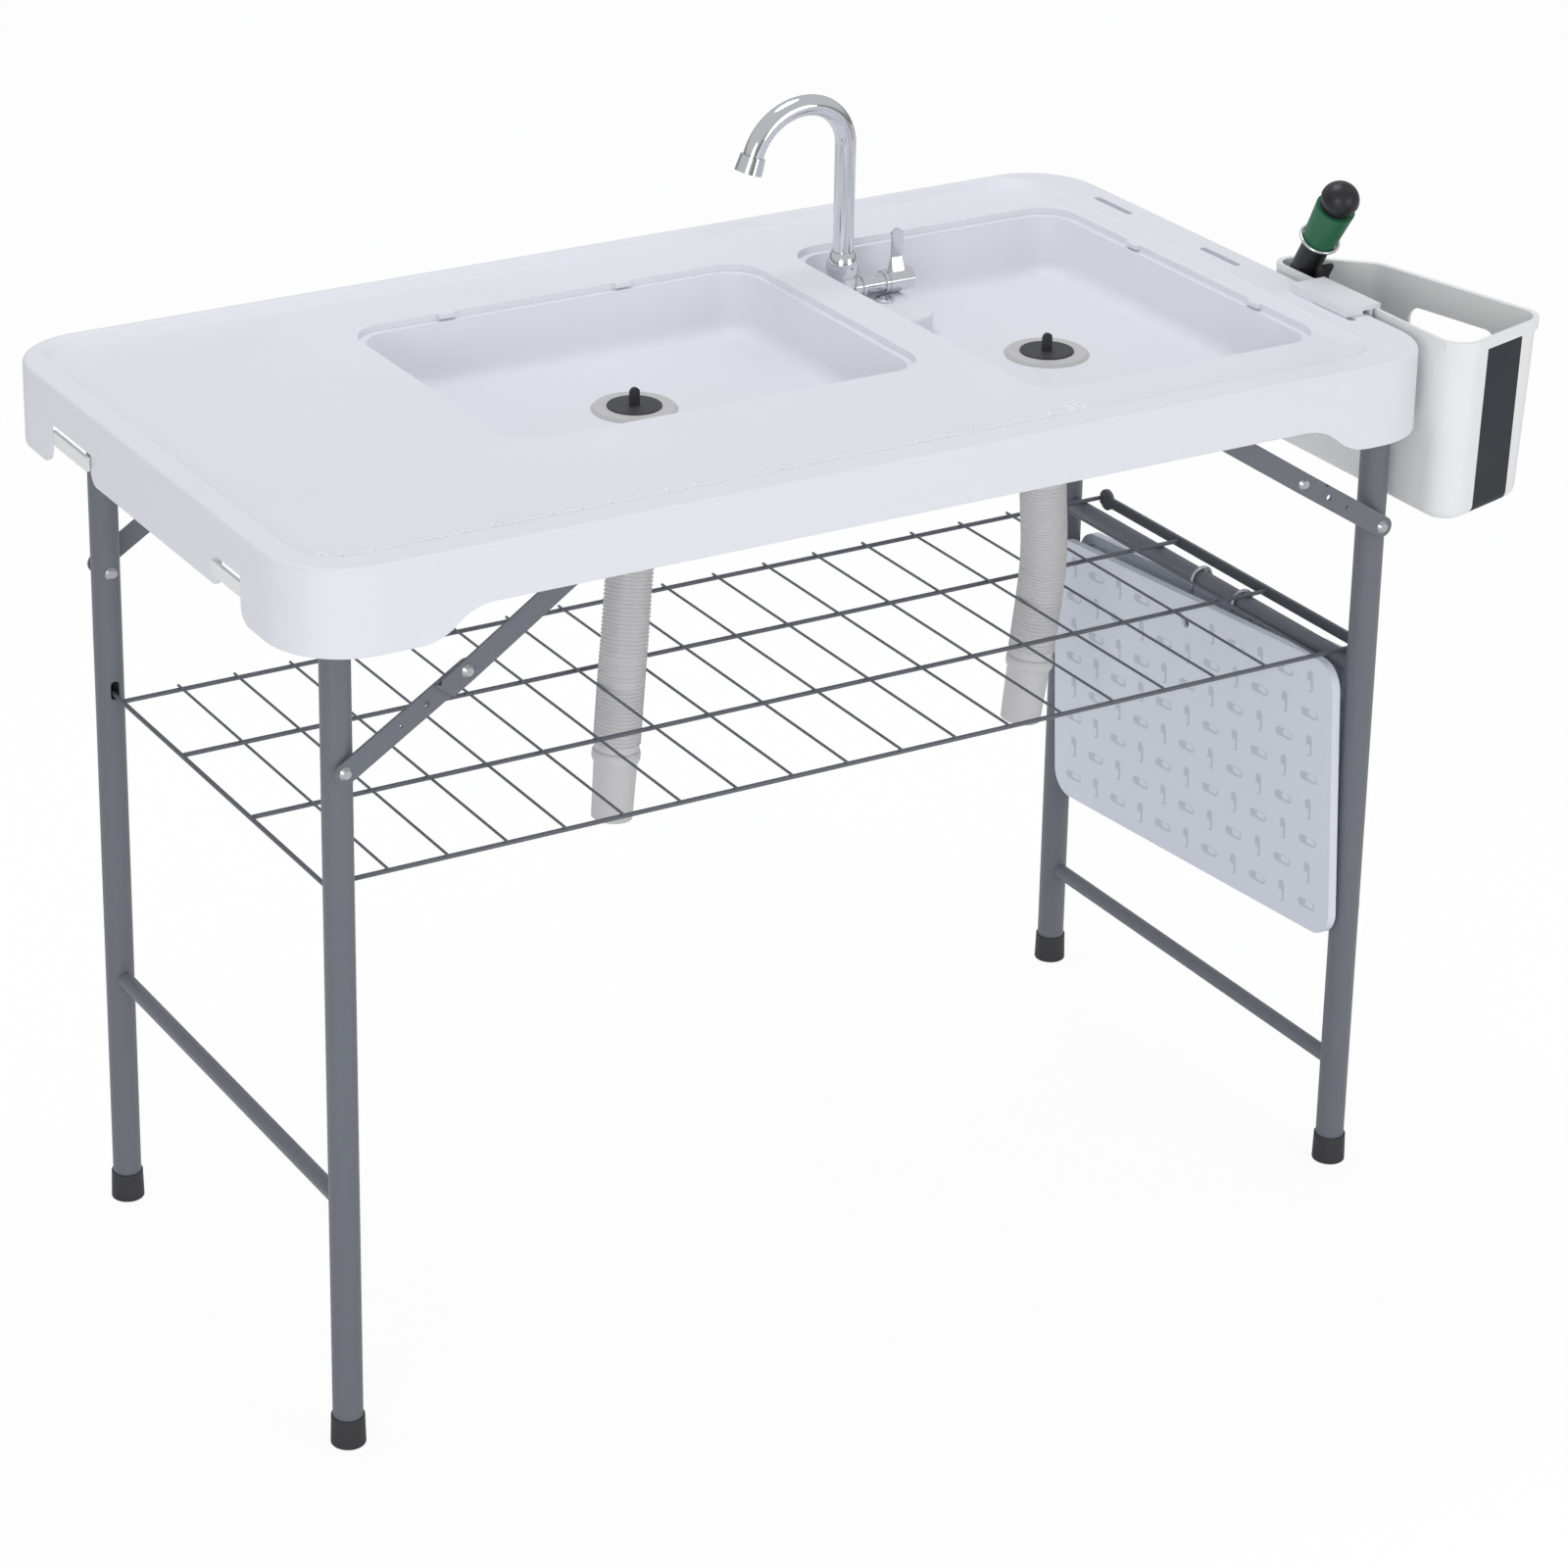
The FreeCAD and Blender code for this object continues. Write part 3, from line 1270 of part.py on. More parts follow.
def main():
    os.makedirs("parts", exist_ok=True)
    save("tabletop", tabletop())
    save("end_clips", *end_clips())
    drains = (left_drain, right_drain)
    save("drain_flanges", *[drain_flange(x, y) for x, y in drains])
    save("drain_nuts", *[drain_nut(x, y) for x, y in drains])
    save("left_plug", drain_plug(*left_drain))
    save("right_plug", drain_plug(*right_drain))
    save("left_hose", hose("left hose", left_hose))
    save("right_hose", hose("right hose", right_hose))
    save("left_hose_cuff", hose_cuff(left_hose, left_cuff_length))
    save("right_hose_cuff", hose_cuff(right_hose, right_cuff_length))

    save("left_front_leg", leg(left_x, -1, True))
    save("left_back_leg", leg(left_x, 1, True))
    save("right_front_leg", leg(right_x, -1, False))
    save("right_back_leg", leg(right_x, 1, False))
    save("left_feet", foot(left_x, -1), foot(left_x, 1))
    save("right_feet", foot(right_x, -1), foot(right_x, 1))
    save("left_crossbar", crossbar(left_x, left_bar_z, lower_bar_radius))
    save("right_crossbar", crossbar(right_x, right_bar_z, lower_bar_radius))
    save("shelf_crossbar", crossbar(right_x, upper_bar_z, upper_bar_radius))
    corners = [(x, side) for x in (left_x, right_x) for side in (-1, 1)]
    save("leg_saddles", *[saddle(x, side) for x, side in corners])
    save("pivot_pins", *[pivot_pin(x, side) for x, side in corners])

    left_top = brace("left", left_x, left_brace)
    right_top = brace("right", right_x, right_brace)
    brackets = [brace_bracket(*left_top), brace_bracket(*right_top)]
    save("brace_brackets", *brackets, *[mirrored_y(bracket) for bracket in brackets])

    save("shelf_long_wires", *shelf_long_wires())
    save("shelf_cross_wires", *shelf_cross_wires())
    save("shelf_end_bar", shelf_end_bar())

    save("inner_cover", cover(-1, inner_cover_y, inner_hook_y, inner_hook_drop))
    save("outer_cover", cover(1, outer_cover_y, outer_hook_y, outer_hook_drop))
    save("inner_hook", cover_hook(-1, inner_hook_y, inner_hook_drop))
    save("outer_hook", cover_hook(1, outer_hook_y, outer_hook_drop))

    save("faucet_body", faucet_body())
    save("faucet_nut", faucet_nut())
    save("spout_collar", collar_nut())
    save("spout", spout())
    save("aerator", aerator())
    save("faucet_lever", faucet_lever())
    save("hose_grommet", grommet())

    frame, band = basket_pieces()
    save("basket_frame", frame)
    save("basket_band", band)
    save("basket_hook", basket_hook())
    names = ("gun_grip", "gun_coupling", "gun_barrel", "gun_cap", "gun_trigger", "gun_lock_ring")
    for name, piece in zip(names, gun_pieces()):
        save(name, piece)


main()
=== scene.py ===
import json
import math
import bmesh
import bpy
from mathutils import Matrix, Vector


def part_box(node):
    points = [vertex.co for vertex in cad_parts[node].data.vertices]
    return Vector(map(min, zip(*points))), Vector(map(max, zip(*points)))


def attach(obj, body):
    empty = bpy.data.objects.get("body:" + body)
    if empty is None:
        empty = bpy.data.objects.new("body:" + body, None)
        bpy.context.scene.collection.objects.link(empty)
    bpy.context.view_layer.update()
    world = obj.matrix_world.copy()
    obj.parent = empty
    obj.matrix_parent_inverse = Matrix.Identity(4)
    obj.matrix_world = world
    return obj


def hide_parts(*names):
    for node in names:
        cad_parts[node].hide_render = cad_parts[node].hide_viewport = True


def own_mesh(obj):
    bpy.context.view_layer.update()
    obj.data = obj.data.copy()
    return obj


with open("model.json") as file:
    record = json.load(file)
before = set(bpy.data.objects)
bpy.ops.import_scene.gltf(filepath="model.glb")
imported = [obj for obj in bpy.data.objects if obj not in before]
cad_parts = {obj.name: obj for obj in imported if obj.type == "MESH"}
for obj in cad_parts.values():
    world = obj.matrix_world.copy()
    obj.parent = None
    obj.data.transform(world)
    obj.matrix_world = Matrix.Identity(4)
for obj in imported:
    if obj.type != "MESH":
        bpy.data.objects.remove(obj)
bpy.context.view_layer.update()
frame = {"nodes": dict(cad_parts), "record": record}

nodes = frame["nodes"]

# Metres. Places along X are measured from the middle of the table top, then moved by SHIFT.
TABLE_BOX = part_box("tabletop")
SHIFT = (TABLE_BOX[0][0] + TABLE_BOX[1][0]) / 2
RECESS_DEPTH = 0.007
WORK_Z = TABLE_BOX[1][2] - RECESS_DEPTH

# Camera, as fitted to the photograph
CAMERA_PLACE = (-1.8703, -3.188, 2.1145)
CAMERA_YAW = 27.935
CAMERA_PITCH = 20.911
CAMERA_ROLL = -0.091
CAMERA_LENS = 107.905
CAMERA_SHIFT = (0.1606, -0.215)
SENSOR = 36.0
CAMERA_REACH = 100.0

# Surroundings: colours straight down and straight up, and the brightness of bands between them,
# each as its height from 0 to 1 and its level
WORLD_LOW = (0.55, 0.55, 0.56, 1.0)
WORLD_HIGH = (0.62, 0.63, 0.66, 1.0)
WORLD_BANDS = ((0.40, 0.50), (0.47, 0.22), (0.53, 0.30), (0.62, 0.62))
WORLD_BLUE_SHARE = 1.02
WHITE = (1.0, 1.0, 1.0, 1.0)

# Lights: name, place, target, diameter and power
LIGHTS = (("key", (-3.4, -3.4, 1.5), (0, 0, 0.5), 2.2, 50), ("front", (1.6, -4.0, 1.2), (0, 0, 0.5), 2.0, 27),
          ("top", (0.2, 0.8, 3.6), (0, 0, 0.7), 1.6, 26))

# Floor under the stand
FLOOR_SIZE = 14.0
FLOOR_COLOUR = (0.9, 0.9, 0.9, 1.0)
FLOOR_ROUGHNESS = 0.9
FLOOR_GLOW = 1.02
FLOOR_GLOW_SHARE = 0.9

# Angles up to which neighbouring faces are shaded as one, in degrees
EDGE_ANGLE = 30.0
TUBE_ANGLE = 50.0
DASH_ANGLE = 20.0
MERGE_DISTANCE = 1e-6

# Surface effects shared by all finishes
GRAIN_SCALE = 900.0
GRAIN_DEPTH = 0.1
GRAIN_DETAIL = 3.0
GRAIN_ROUGHNESS = 0.6
GRAIN_HEIGHT = 0.0004
WEAR_SCALE = 7.0
WEAR_CONTRAST = 0.5
WEAR_DETAIL = 5.0
WEAR_DISTORTION = 0.4
WEAR_LEVEL = 0.75
MASK_SHARE = 0.5
GLOSS_SPREAD = 0.08
GLOSS_LEAST = 0.02

# Finishes by slot: name, screen colour, roughness, grain scale, grain depth, unevenness and metal
FINISHES = {
    "grey_plastic": ("table_plastic", (231, 233, 238), 0.42, 1500, 0.25, 0.012, 0.0),
    # Ruler strokes and numerals: the table's grey plastic painted near white, a painted highlight on the
    # raised moulded lines
    "ruler_raised": ("ruler_raised", (253, 253, 254), 0.42, 1500, 0.25, 0.012, 0.0),
    "white_plastic": ("white_plastic", (240, 240, 239), 0.38, 1200, 0.12, 0.01, 0.0),
    "pale_flange": ("flange_plastic", (196, 195, 194), 0.4, 900, 0.15, 0.03, 0.0),
    "black_rubber": ("black_rubber", (52, 52, 55), 0.55, 700, 0.3, 0.15, 0.0),
    "hose_plastic": ("hose_plastic", (208, 207, 207), 0.36, 500, 0.1, 0.02, 0.0),
    "grey_tube": ("grey_paint", (108, 112, 119), 0.4, 1100, 0.12, 0.05, 0.0),
    "zinc_steel": ("zinc_plate", (190, 190, 192), 0.3, 400, 0.2, 0.1, 1.0),
    "wire_coat": ("wire_paint", (96, 100, 106), 0.4, 900, 0.15, 0.06, 0.0),
    "cover_plastic": ("cover_plastic", (224, 229, 239), 0.4, 1300, 0.2, 0.015, 0.0),
    # Cover dashes: a darker copy of the cover plastic, painted shade for the pressed hollows
    "dash_shade": ("dash_shade", (198, 205, 216), 0.45, 1300, 0.2, 0.015, 0.0),
    "chrome": ("chrome_plate", (222, 223, 226), 0.09, 60, 0.02, 0.02, 1.0),
    "dark_band": ("soft_band", (34, 37, 45), 0.6, 800, 0.2, 0.06, 0.0),
    "hook_plastic": ("hook_plastic", (228, 230, 233), 0.4, 1200, 0.15, 0.01, 0.0),
    "green_plastic": ("green_plastic", (36, 104, 72), 0.45, 700, 0.3, 0.08, 0.0),
    "black_plastic": ("black_plastic", (28, 28, 30), 0.4, 700, 0.2, 0.12, 0.0),
}

# Drain hoses, repeated from the construction, in metres
HOSE_RADIUS = 0.0208
HOSE_WALL = 0.0026
RIB_PITCH = 0.0034
RIB_HEIGHT = 0.0011
RIB_SHAPE = (0.0, 1.0, 1.0, 0.0)
PLAIN_END_SHARE = 0.35
BORE_STRIDE = 12
TUBE_SEGMENTS = 40
ROUTE_RESOLUTION = 24
ROUTE_ORDER = 3
LEFT_ROUTE = ((-0.053, 0.055, 0.708), (-0.053, 0.055, 0.634), (-0.062, 0.046, 0.584), (-0.071, 0.036, 0.538),
              (-0.0775, 0.0305, 0.500), (-0.083, 0.029, 0.432))
RIGHT_ROUTE = ((0.330, 0.005, 0.708), (0.330, 0.005, 0.634), (0.336, 0.010, 0.588), (0.344, 0.017, 0.545),
               (0.3455, 0.021, 0.504), (0.337, 0.022, 0.436))
CUFF_LENGTHS = {"left": 0.064, "right": 0.062}
CUFF_PROFILE = ((0.0002, 0.0190), (0.0012, 0.0207), (0.0035, 0.0213), (0.0078, 0.0213), (0.0100, 0.0206),
                (0.0112, 0.0196), (0.0125, 0.0191))
CUFF_END_RADIUS = 0.0180
CUFF_END_ROUND = 0.001
CUFF_BORE = 0.0155
CUFF_BORE_FLARE = 0.0006
CUFF_FLARE_LENGTH = 0.0008
CUFF_NECK = 0.0075
CUFF_NECK_WALL = 0.002
CUFF_NECK_GAP = 0.0002

# Covers: the middle of each, the point they hang from, and their pressed pattern of short dashes
RIGHT_X = 0.513
BAR_Z = 0.4798
COVER_TILT = 3.8
COVER_SIZE = (0.428, 0.257)
COVER_OFF = 0.0169
COVER_RIM = 0.008
COVER_HANG = 0.017
COVERS = (("inner", -1, -0.006, 0.010, 0.027), ("outer", 1, 0.014, -0.052, 0.030))
DASH_PITCH = (0.0364, 0.030)
DASH_COUNT = (11, 8)
DASH_ACROSS = (0.024, 0.008)
DASH_UP = (0.008, 0.020)
DASH_HEIGHT = 0.00015
PAD_SHARE = 0.5
PAD_HEIGHT = 0.0004
PAD_EDGE = 0.0012
CAPSULE_SIDES = 16
HOOK_CLEAR = 0.022

# Ruler on the work surface
RULER_START = -0.4714
RULER_Y = -0.2488
INCH = 0.0254
RULER_COUNT = 25
LONG_TICK = 0.009
SHORT_TICK = 0.006
STROKE = 0.0014
RULER_END_RUN = 0.012
STROKE_HEIGHT = 0.0006
NUMBER_SIZE = 0.019
NUMBER_RISE = 0.006
FIRST_NUMBER_GAP = 0.0135
LAST_NUMBER_GAP = 0.026


def at(x, y, z):
    return Vector((x + SHIFT, y, z))


def colour(red, green, blue):
    """Linear colour from the 0 to 255 values of a screen."""
    def linear(value):
        share = value / 255
        return share / 12.92 if share <= 0.04045 else ((share + 0.055) / 1.055) ** 2.4
    return (linear(red), linear(green), linear(blue), 1.0)


# Camera

def make_camera():
    data = bpy.data.cameras.new("camera")
    data.sensor_width = SENSOR
    data.lens = CAMERA_LENS
    data.shift_x, data.shift_y = CAMERA_SHIFT
    data.clip_end = CAMERA_REACH
    camera = bpy.data.objects.new("camera", data)
    bpy.context.collection.objects.link(camera)
    turn = Matrix.Rotation(math.radians(-CAMERA_YAW), 4, "Z")
    turn = turn @ Matrix.Rotation(math.radians(90 - CAMERA_PITCH), 4, "X")
    turn = turn @ Matrix.Rotation(math.radians(CAMERA_ROLL), 4, "Z")
    camera.matrix_world = Matrix.Translation(at(*CAMERA_PLACE)) @ turn
    bpy.context.scene.camera = camera


def link_object(name, mesh):
    piece = bpy.data.objects.new(name, mesh)
    bpy.context.collection.objects.link(piece)
    return piece


def finish_mesh(name, work, smooth_angle=EDGE_ANGLE):
    """Turns a bmesh into an object, smooth shaded up to the given angle between faces."""
    bmesh.ops.remove_doubles(work, verts=work.verts, dist=MERGE_DISTANCE)
    bmesh.ops.recalc_face_normals(work, faces=work.faces)
    limit = math.radians(smooth_angle)
    for face in work.faces:
        face.smooth = True
    for edge in work.edges:
        if len(edge.link_faces) == 2:
            edge.smooth = edge.calc_face_angle(0.0) < limit
    mesh = bpy.data.meshes.new(name)
    work.to_mesh(mesh)
    work.free()
    return link_object(name, mesh)


# Shared shader effects

def new_group(name, inputs, outputs):
    group = bpy.data.node_groups.new(name, "ShaderNodeTree")
    for label, default in inputs:
        socket = group.interface.new_socket(label, in_out="INPUT", socket_type="NodeSocketFloat")
        socket.default_value = default
    for label, kind in outputs:
        group.interface.new_socket(label, in_out="OUTPUT", socket_type=kind)
    start = group.nodes.new("NodeGroupInput")
    end = group.nodes.new("NodeGroupOutput")
    return group, start, end


def grain_group():
    """Fine moulded or painted grain: a mask for colour and a normal for the surface."""
    group, start, end = new_group("surface_grain", [("Scale", GRAIN_SCALE), ("Depth", GRAIN_DEPTH)],
                                  [("Mask", "NodeSocketFloat"), ("Normal", "NodeSocketVector")])
    place = group.nodes.new("ShaderNodeTexCoord")
    noise = group.nodes.new("ShaderNodeTexNoise")
    noise.inputs["Detail"].default_value = GRAIN_DETAIL
    noise.inputs["Roughness"].default_value = GRAIN_ROUGHNESS
    bump = group.nodes.new("ShaderNodeBump")
    bump.inputs["Distance"].default_value = GRAIN_HEIGHT
    links = group.links
    links.new(place.outputs["Object"], noise.inputs["Vector"])
    links.new(start.outputs["Scale"], noise.inputs["Scale"])
    links.new(start.outputs["Depth"], bump.inputs["Strength"])
    links.new(noise.outputs["Fac"], bump.inputs["Height"])
    links.new(noise.outputs["Fac"], end.inputs["Mask"])
    links.new(bump.outputs["Normal"], end.inputs["Normal"])
    return group


def wear_group():
    """Broad, soft patches of handling: a mask from 0 to 1."""
    group, start, end = new_group("handling_wear", [("Scale", WEAR_SCALE), ("Contrast", WEAR_CONTRAST)],
                                  [("Mask", "NodeSocketFloat")])
    place = group.nodes.new("ShaderNodeTexCoord")
    noise = group.nodes.new("ShaderNodeTexNoise")
    noise.inputs["Detail"].default_value = WEAR_DETAIL
    noise.inputs["Distortion"].default_value = WEAR_DISTORTION
    curve = group.nodes.new("ShaderNodeMapRange")
    low = group.nodes.new("ShaderNodeMath")
    low.operation = "SUBTRACT"
    low.inputs[0].default_value = WEAR_LEVEL
    links = group.links
    links.new(place.outputs["Object"], noise.inputs["Vector"])
    links.new(start.outputs["Scale"], noise.inputs["Scale"])
    links.new(start.outputs["Contrast"], low.inputs[1])
    links.new(noise.outputs["Fac"], curve.inputs["Value"])
    links.new(low.outputs[0], curve.inputs["From Min"])
    curve.inputs["From Max"].default_value = WEAR_LEVEL
    links.new(curve.outputs["Result"], end.inputs["Mask"])
    return group


GRAIN = grain_group()
WEAR = wear_group()


def surface(name, base, rough, grain, depth, spread, metal):
    """A finish with its own grain, slightly uneven colour and uneven gloss."""
    material = bpy.data.materials.new(name)
    material.use_nodes = True
    tree = material.node_tree
    shader = tree.nodes["Principled BSDF"]
    shader.inputs["Metallic"].default_value = metal
    grains = tree.nodes.new("ShaderNodeGroup")
    grains.node_tree = GRAIN
    grains.inputs["Scale"].default_value = grain
    grains.inputs["Depth"].default_value = depth
    wear = tree.nodes.new("ShaderNodeGroup")
    wear.node_tree = WEAR
    wear.inputs["Scale"].default_value = WEAR_SCALE
    mix = tree.nodes.new("ShaderNodeMix")
    mix.data_type = "RGBA"
    mix.inputs["A"].default_value = tuple(c * (1 - spread) for c in base[:3]) + (1.0,)
    mix.inputs["B"].default_value = tuple(min(1.0, c * (1 + spread)) for c in base[:3]) + (1.0,)
    both = tree.nodes.new("ShaderNodeMath")
    both.operation = "MULTIPLY_ADD"
    both.inputs[1].default_value = MASK_SHARE
    half = tree.nodes.new("ShaderNodeMath")
    half.operation = "MULTIPLY"
    half.inputs[1].default_value = MASK_SHARE
    gloss = tree.nodes.new("ShaderNodeMapRange")
    gloss.inputs["To Min"].default_value = max(GLOSS_LEAST, rough - GLOSS_SPREAD)
    gloss.inputs["To Max"].default_value = rough + GLOSS_SPREAD
    links = tree.links
    links.new(grains.outputs["Mask"], half.inputs[0])
    links.new(wear.outputs["Mask"], both.inputs[0])
    links.new(half.outputs[0], both.inputs[2])
    links.new(both.outputs[0], mix.inputs["Factor"])
    links.new(mix.outputs["Result"], shader.inputs["Base Color"])
    links.new(wear.outputs["Mask"], gloss.inputs["Value"])
    links.new(gloss.outputs["Result"], shader.inputs["Roughness"])
    links.new(grains.outputs["Normal"], shader.inputs["Normal"])
    return material


def make_materials():
    return {slot: surface(name, colour(*shade), *rest) for slot, (name, shade, *rest) in FINISHES.items()}


def dress_nodes(materials):
    """Gives every construction node the finish of its slot."""
    slots = {entry["node"]: entry["material_slot"] for entry in frame["record"]["subparts"]}
    for name, piece in nodes.items():
        piece.data.materials.clear()
        piece.data.materials.append(materials[slots[name]])


# Hoses

def route_curve(name, route):
    """Smooth spline on the route's points."""
    curve = bpy.data.curves.new(name, "CURVE")
    curve.dimensions = "3D"
    curve.resolution_u = ROUTE_RESOLUTION
    spline = curve.splines.new("NURBS")
    spline.points.add(len(route) - 1)
    for point, place in zip(spline.points, route):
        spot = at(*place)
        point.co = (spot.x, spot.y, spot.z, 1.0)
    spline.use_endpoint_u = True
    spline.order_u = ROUTE_ORDER
    return curve


def route_points(name, route):
    """Points along the smooth spline, as the curve itself gives them."""
    curve = route_curve(name, route)
    holder = bpy.data.objects.new(name, curve)
    bpy.context.collection.objects.link(holder)
    mesh = bpy.data.meshes.new_from_object(holder)
    points = [vertex.co.copy() for vertex in mesh.vertices]
    bpy.data.objects.remove(holder)
    bpy.data.meshes.remove(mesh)
    return points


def spaced(points, spacing):
    """Points and directions at even steps along a line of points."""
    lengths = [0.0]
    for before, after in zip(points, points[1:]):
        lengths.append(lengths[-1] + (after - before).length)
    count = int(lengths[-1] / spacing)
    spots = []
    index = 0
    for step in range(count + 1):
        along = lengths[-1] * step / count
        while index < len(points) - 2 and lengths[index + 1] < along:
            index += 1
        run = lengths[index + 1] - lengths[index]
        share = (along - lengths[index]) / run
        way = (points[index + 1] - points[index]).normalized()
        spots.append((points[index].lerp(points[index + 1], share), way))
    return spots, lengths[-1]


def tube_through(name, rings):
    """Skin through rings given as place, direction and radius, closed from the last ring to the first."""
    work = bmesh.new()
    loops = []
    for place, way, radius in rings:
        side = (Vector((1, 0, 0)) - way * way.x).normalized()
        made = bmesh.ops.create_circle(work, cap_ends=False, segments=TUBE_SEGMENTS, radius=radius)
        turn = Matrix((side, way.cross(side), way)).transposed().to_4x4()
        bmesh.ops.transform(work, matrix=Matrix.Translation(place) @ turn, verts=made["verts"])
        loops.append(list({edge for vertex in made["verts"] for edge in vertex.link_edges}))
    for one, two in zip(loops, loops[1:] + loops[:1]):
        bmesh.ops.bridge_loops(work, edges=one + two)
    return finish_mesh(name, work, TUBE_ANGLE)


def ribbed_hose(name, route, material):
    """Hose with ribs along its length, plain at both ends, and a smooth bore."""
    points = route_points(name + "_line", route)
    rib_step = RIB_PITCH / len(RIB_SHAPE)
    steps, length = spaced(points, rib_step)
    calm = int(HOSE_RADIUS * PLAIN_END_SHARE / rib_step)
    rings = []
    for index, (place, way) in enumerate(steps):
        ribbed = calm < index < len(steps) - calm
        rise = RIB_SHAPE[index % len(RIB_SHAPE)] if ribbed else 0.0
        rings.append((place, way, HOSE_RADIUS - RIB_HEIGHT * (1.0 - rise)))
    for place, way in reversed(steps[::BORE_STRIDE] + steps[-1:]):
        rings.append((place, way, HOSE_RADIUS - HOSE_WALL))
    piece = tube_through(name, rings)
    piece.data.materials.append(material)
    return piece, points, length


def hose_cuff(name, points, length, material):
    """Soft cuff on the hose's end: a bead, a tapered sleeve and a neck inside the hose."""
    place = points[-1]
    way = (points[-1] - points[-2]).normalized()
    rings = [(place + way * along, way, radius) for along, radius in CUFF_PROFILE]
    rings.append((place + way * (length - CUFF_END_ROUND), way, CUFF_END_RADIUS))
    rings.append((place + way * length, way, CUFF_END_RADIUS - CUFF_END_ROUND))
    rings.append((place + way * length, way, CUFF_BORE + CUFF_BORE_FLARE))
    rings.append((place + way * (length - CUFF_FLARE_LENGTH), way, CUFF_BORE))
    rings.append((place - way * CUFF_NECK, way, CUFF_BORE))
    rings.append((place - way * CUFF_NECK, way, CUFF_BORE + CUFF_NECK_WALL))
    rings.append((place + way * CUFF_NECK_GAP, way, CUFF_BORE + CUFF_NECK_WALL))
    piece = tube_through(name, rings)
    piece.data.materials.append(material)
    return piece


def make_hoses(materials):
    for side, route in (("left", LEFT_ROUTE), ("right", RIGHT_ROUTE)):
        name = side + "_drain_hose"
        piece, points, length = ribbed_hose(name, route, materials["hose_plastic"])
        cuff = hose_cuff(side + "_drain_cuff", points, CUFF_LENGTHS[side], materials["hose_plastic"])
        for part, node in ((piece, side + "_hose"), (cuff, side + "_hose_cuff")):
            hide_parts(node)
        for part in (piece, cuff):
            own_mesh(part)
            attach(part, "table")


# Ruler

def stroke(work, x0, x1, y0, y1):
    made = bmesh.ops.create_cube(work, size=1.0)
    size = Matrix.Diagonal((x1 - x0, y1 - y0, STROKE_HEIGHT, 1.0))
    middle = at((x0 + x1) / 2, (y0 + y1) / 2, WORK_Z + STROKE_HEIGHT / 2)
    bmesh.ops.transform(work, matrix=Matrix.Translation(middle) @ size, verts=made["verts"])


def ruler_marks(material):
    work = bmesh.new()
    end = RULER_START + RULER_COUNT * INCH
    stroke(work, RULER_START - STROKE / 2, end + RULER_END_RUN, RULER_Y - STROKE / 2, RULER_Y + STROKE / 2)
    for step in range(RULER_COUNT + 1):
        x = RULER_START + step * INCH
        tall = LONG_TICK if step in (0, RULER_COUNT) else SHORT_TICK
        stroke(work, x - STROKE / 2, x + STROKE / 2, RULER_Y, RULER_Y + tall)
    piece = finish_mesh("ruler_marks", work)
    piece.data.materials.append(material)
    return piece


def number(text, x, y, material):
    """Raised numeral of the ruler, in the painted highlight colour, read from the basket's side as the
    strokes are.
    """
    curve = bpy.data.curves.new("ruler_number_" + text, "FONT")
    curve.body = text
    curve.size = NUMBER_SIZE
    curve.extrude = STROKE_HEIGHT / 2
    curve.align_x = "CENTER"
    curve.align_y = "CENTER"
    holder = bpy.data.objects.new("number", curve)
    bpy.context.collection.objects.link(holder)
    mesh = bpy.data.meshes.new_from_object(holder)
    bpy.data.objects.remove(holder)
    mesh.transform(Matrix.Translation(at(x, y, WORK_Z + STROKE_HEIGHT / 2)))
    piece = link_object("ruler_number_" + text, mesh)
    piece.data.materials.append(material)
    return piece


def make_ruler(materials):
    end = RULER_START + RULER_COUNT * INCH
    # Strokes and numerals take the painted highlight colour, lighter than the table's own grey
    pieces = [ruler_marks(materials["ruler_raised"])]
    for text, x in (("0", RULER_START - FIRST_NUMBER_GAP), (str(RULER_COUNT), end + LAST_NUMBER_GAP)):
        pieces.append(number(text, x, RULER_Y + NUMBER_RISE, materials["ruler_raised"]))
    for piece in pieces:
        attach(piece, "table")


# Covers

def capsule(work, middle, size, out):
    """Flat capsule in Y and Z with low walls, standing out towards -X."""
    length, width = size
    radius = min(size) / 2
    lying = length > width
    reach = Vector((0, length / 2 - radius, 0)) if lying else Vector((0, 0, width / 2 - radius))
    low = []
    high = []
    for step in range(CAPSULE_SIDES):
        angle = math.tau * (step + 0.5) / CAPSULE_SIDES
        spot = Vector((0, math.cos(angle), math.sin(angle))) * radius
        side = 1 if (spot.y if lying else spot.z) > 0 else -1
        place = middle + spot + reach * side
        low.append(work.verts.new(place))
        high.append(work.verts.new(place - Vector((out, 0, 0))))
    for index in range(CAPSULE_SIDES):
        after = (index + 1) % CAPSULE_SIDES
        work.faces.new((low[index], low[after], high[after], high[index]))
    work.faces.new(high)


def dash(shade, pad, middle, size):
    """One pressed dash: a capsule in a darker painted shade for the pressed hollow, with a lighter pad in the
    cover's own colour over its front or lower half.
    """
    capsule(shade, middle, size, DASH_HEIGHT)
    length, width = size
    if length > width:
        part = Vector((0, -length * (1 - PAD_SHARE) / 2 + PAD_EDGE, PAD_EDGE))
        capsule(pad, middle + part, (length * PAD_SHARE, width - PAD_EDGE * 2), PAD_HEIGHT)
    else:
        part = Vector((0, PAD_EDGE, -width * (1 - PAD_SHARE) / 2 + PAD_EDGE))
        capsule(pad, middle + part, (length - PAD_EDGE * 2, width * PAD_SHARE), PAD_HEIGHT)


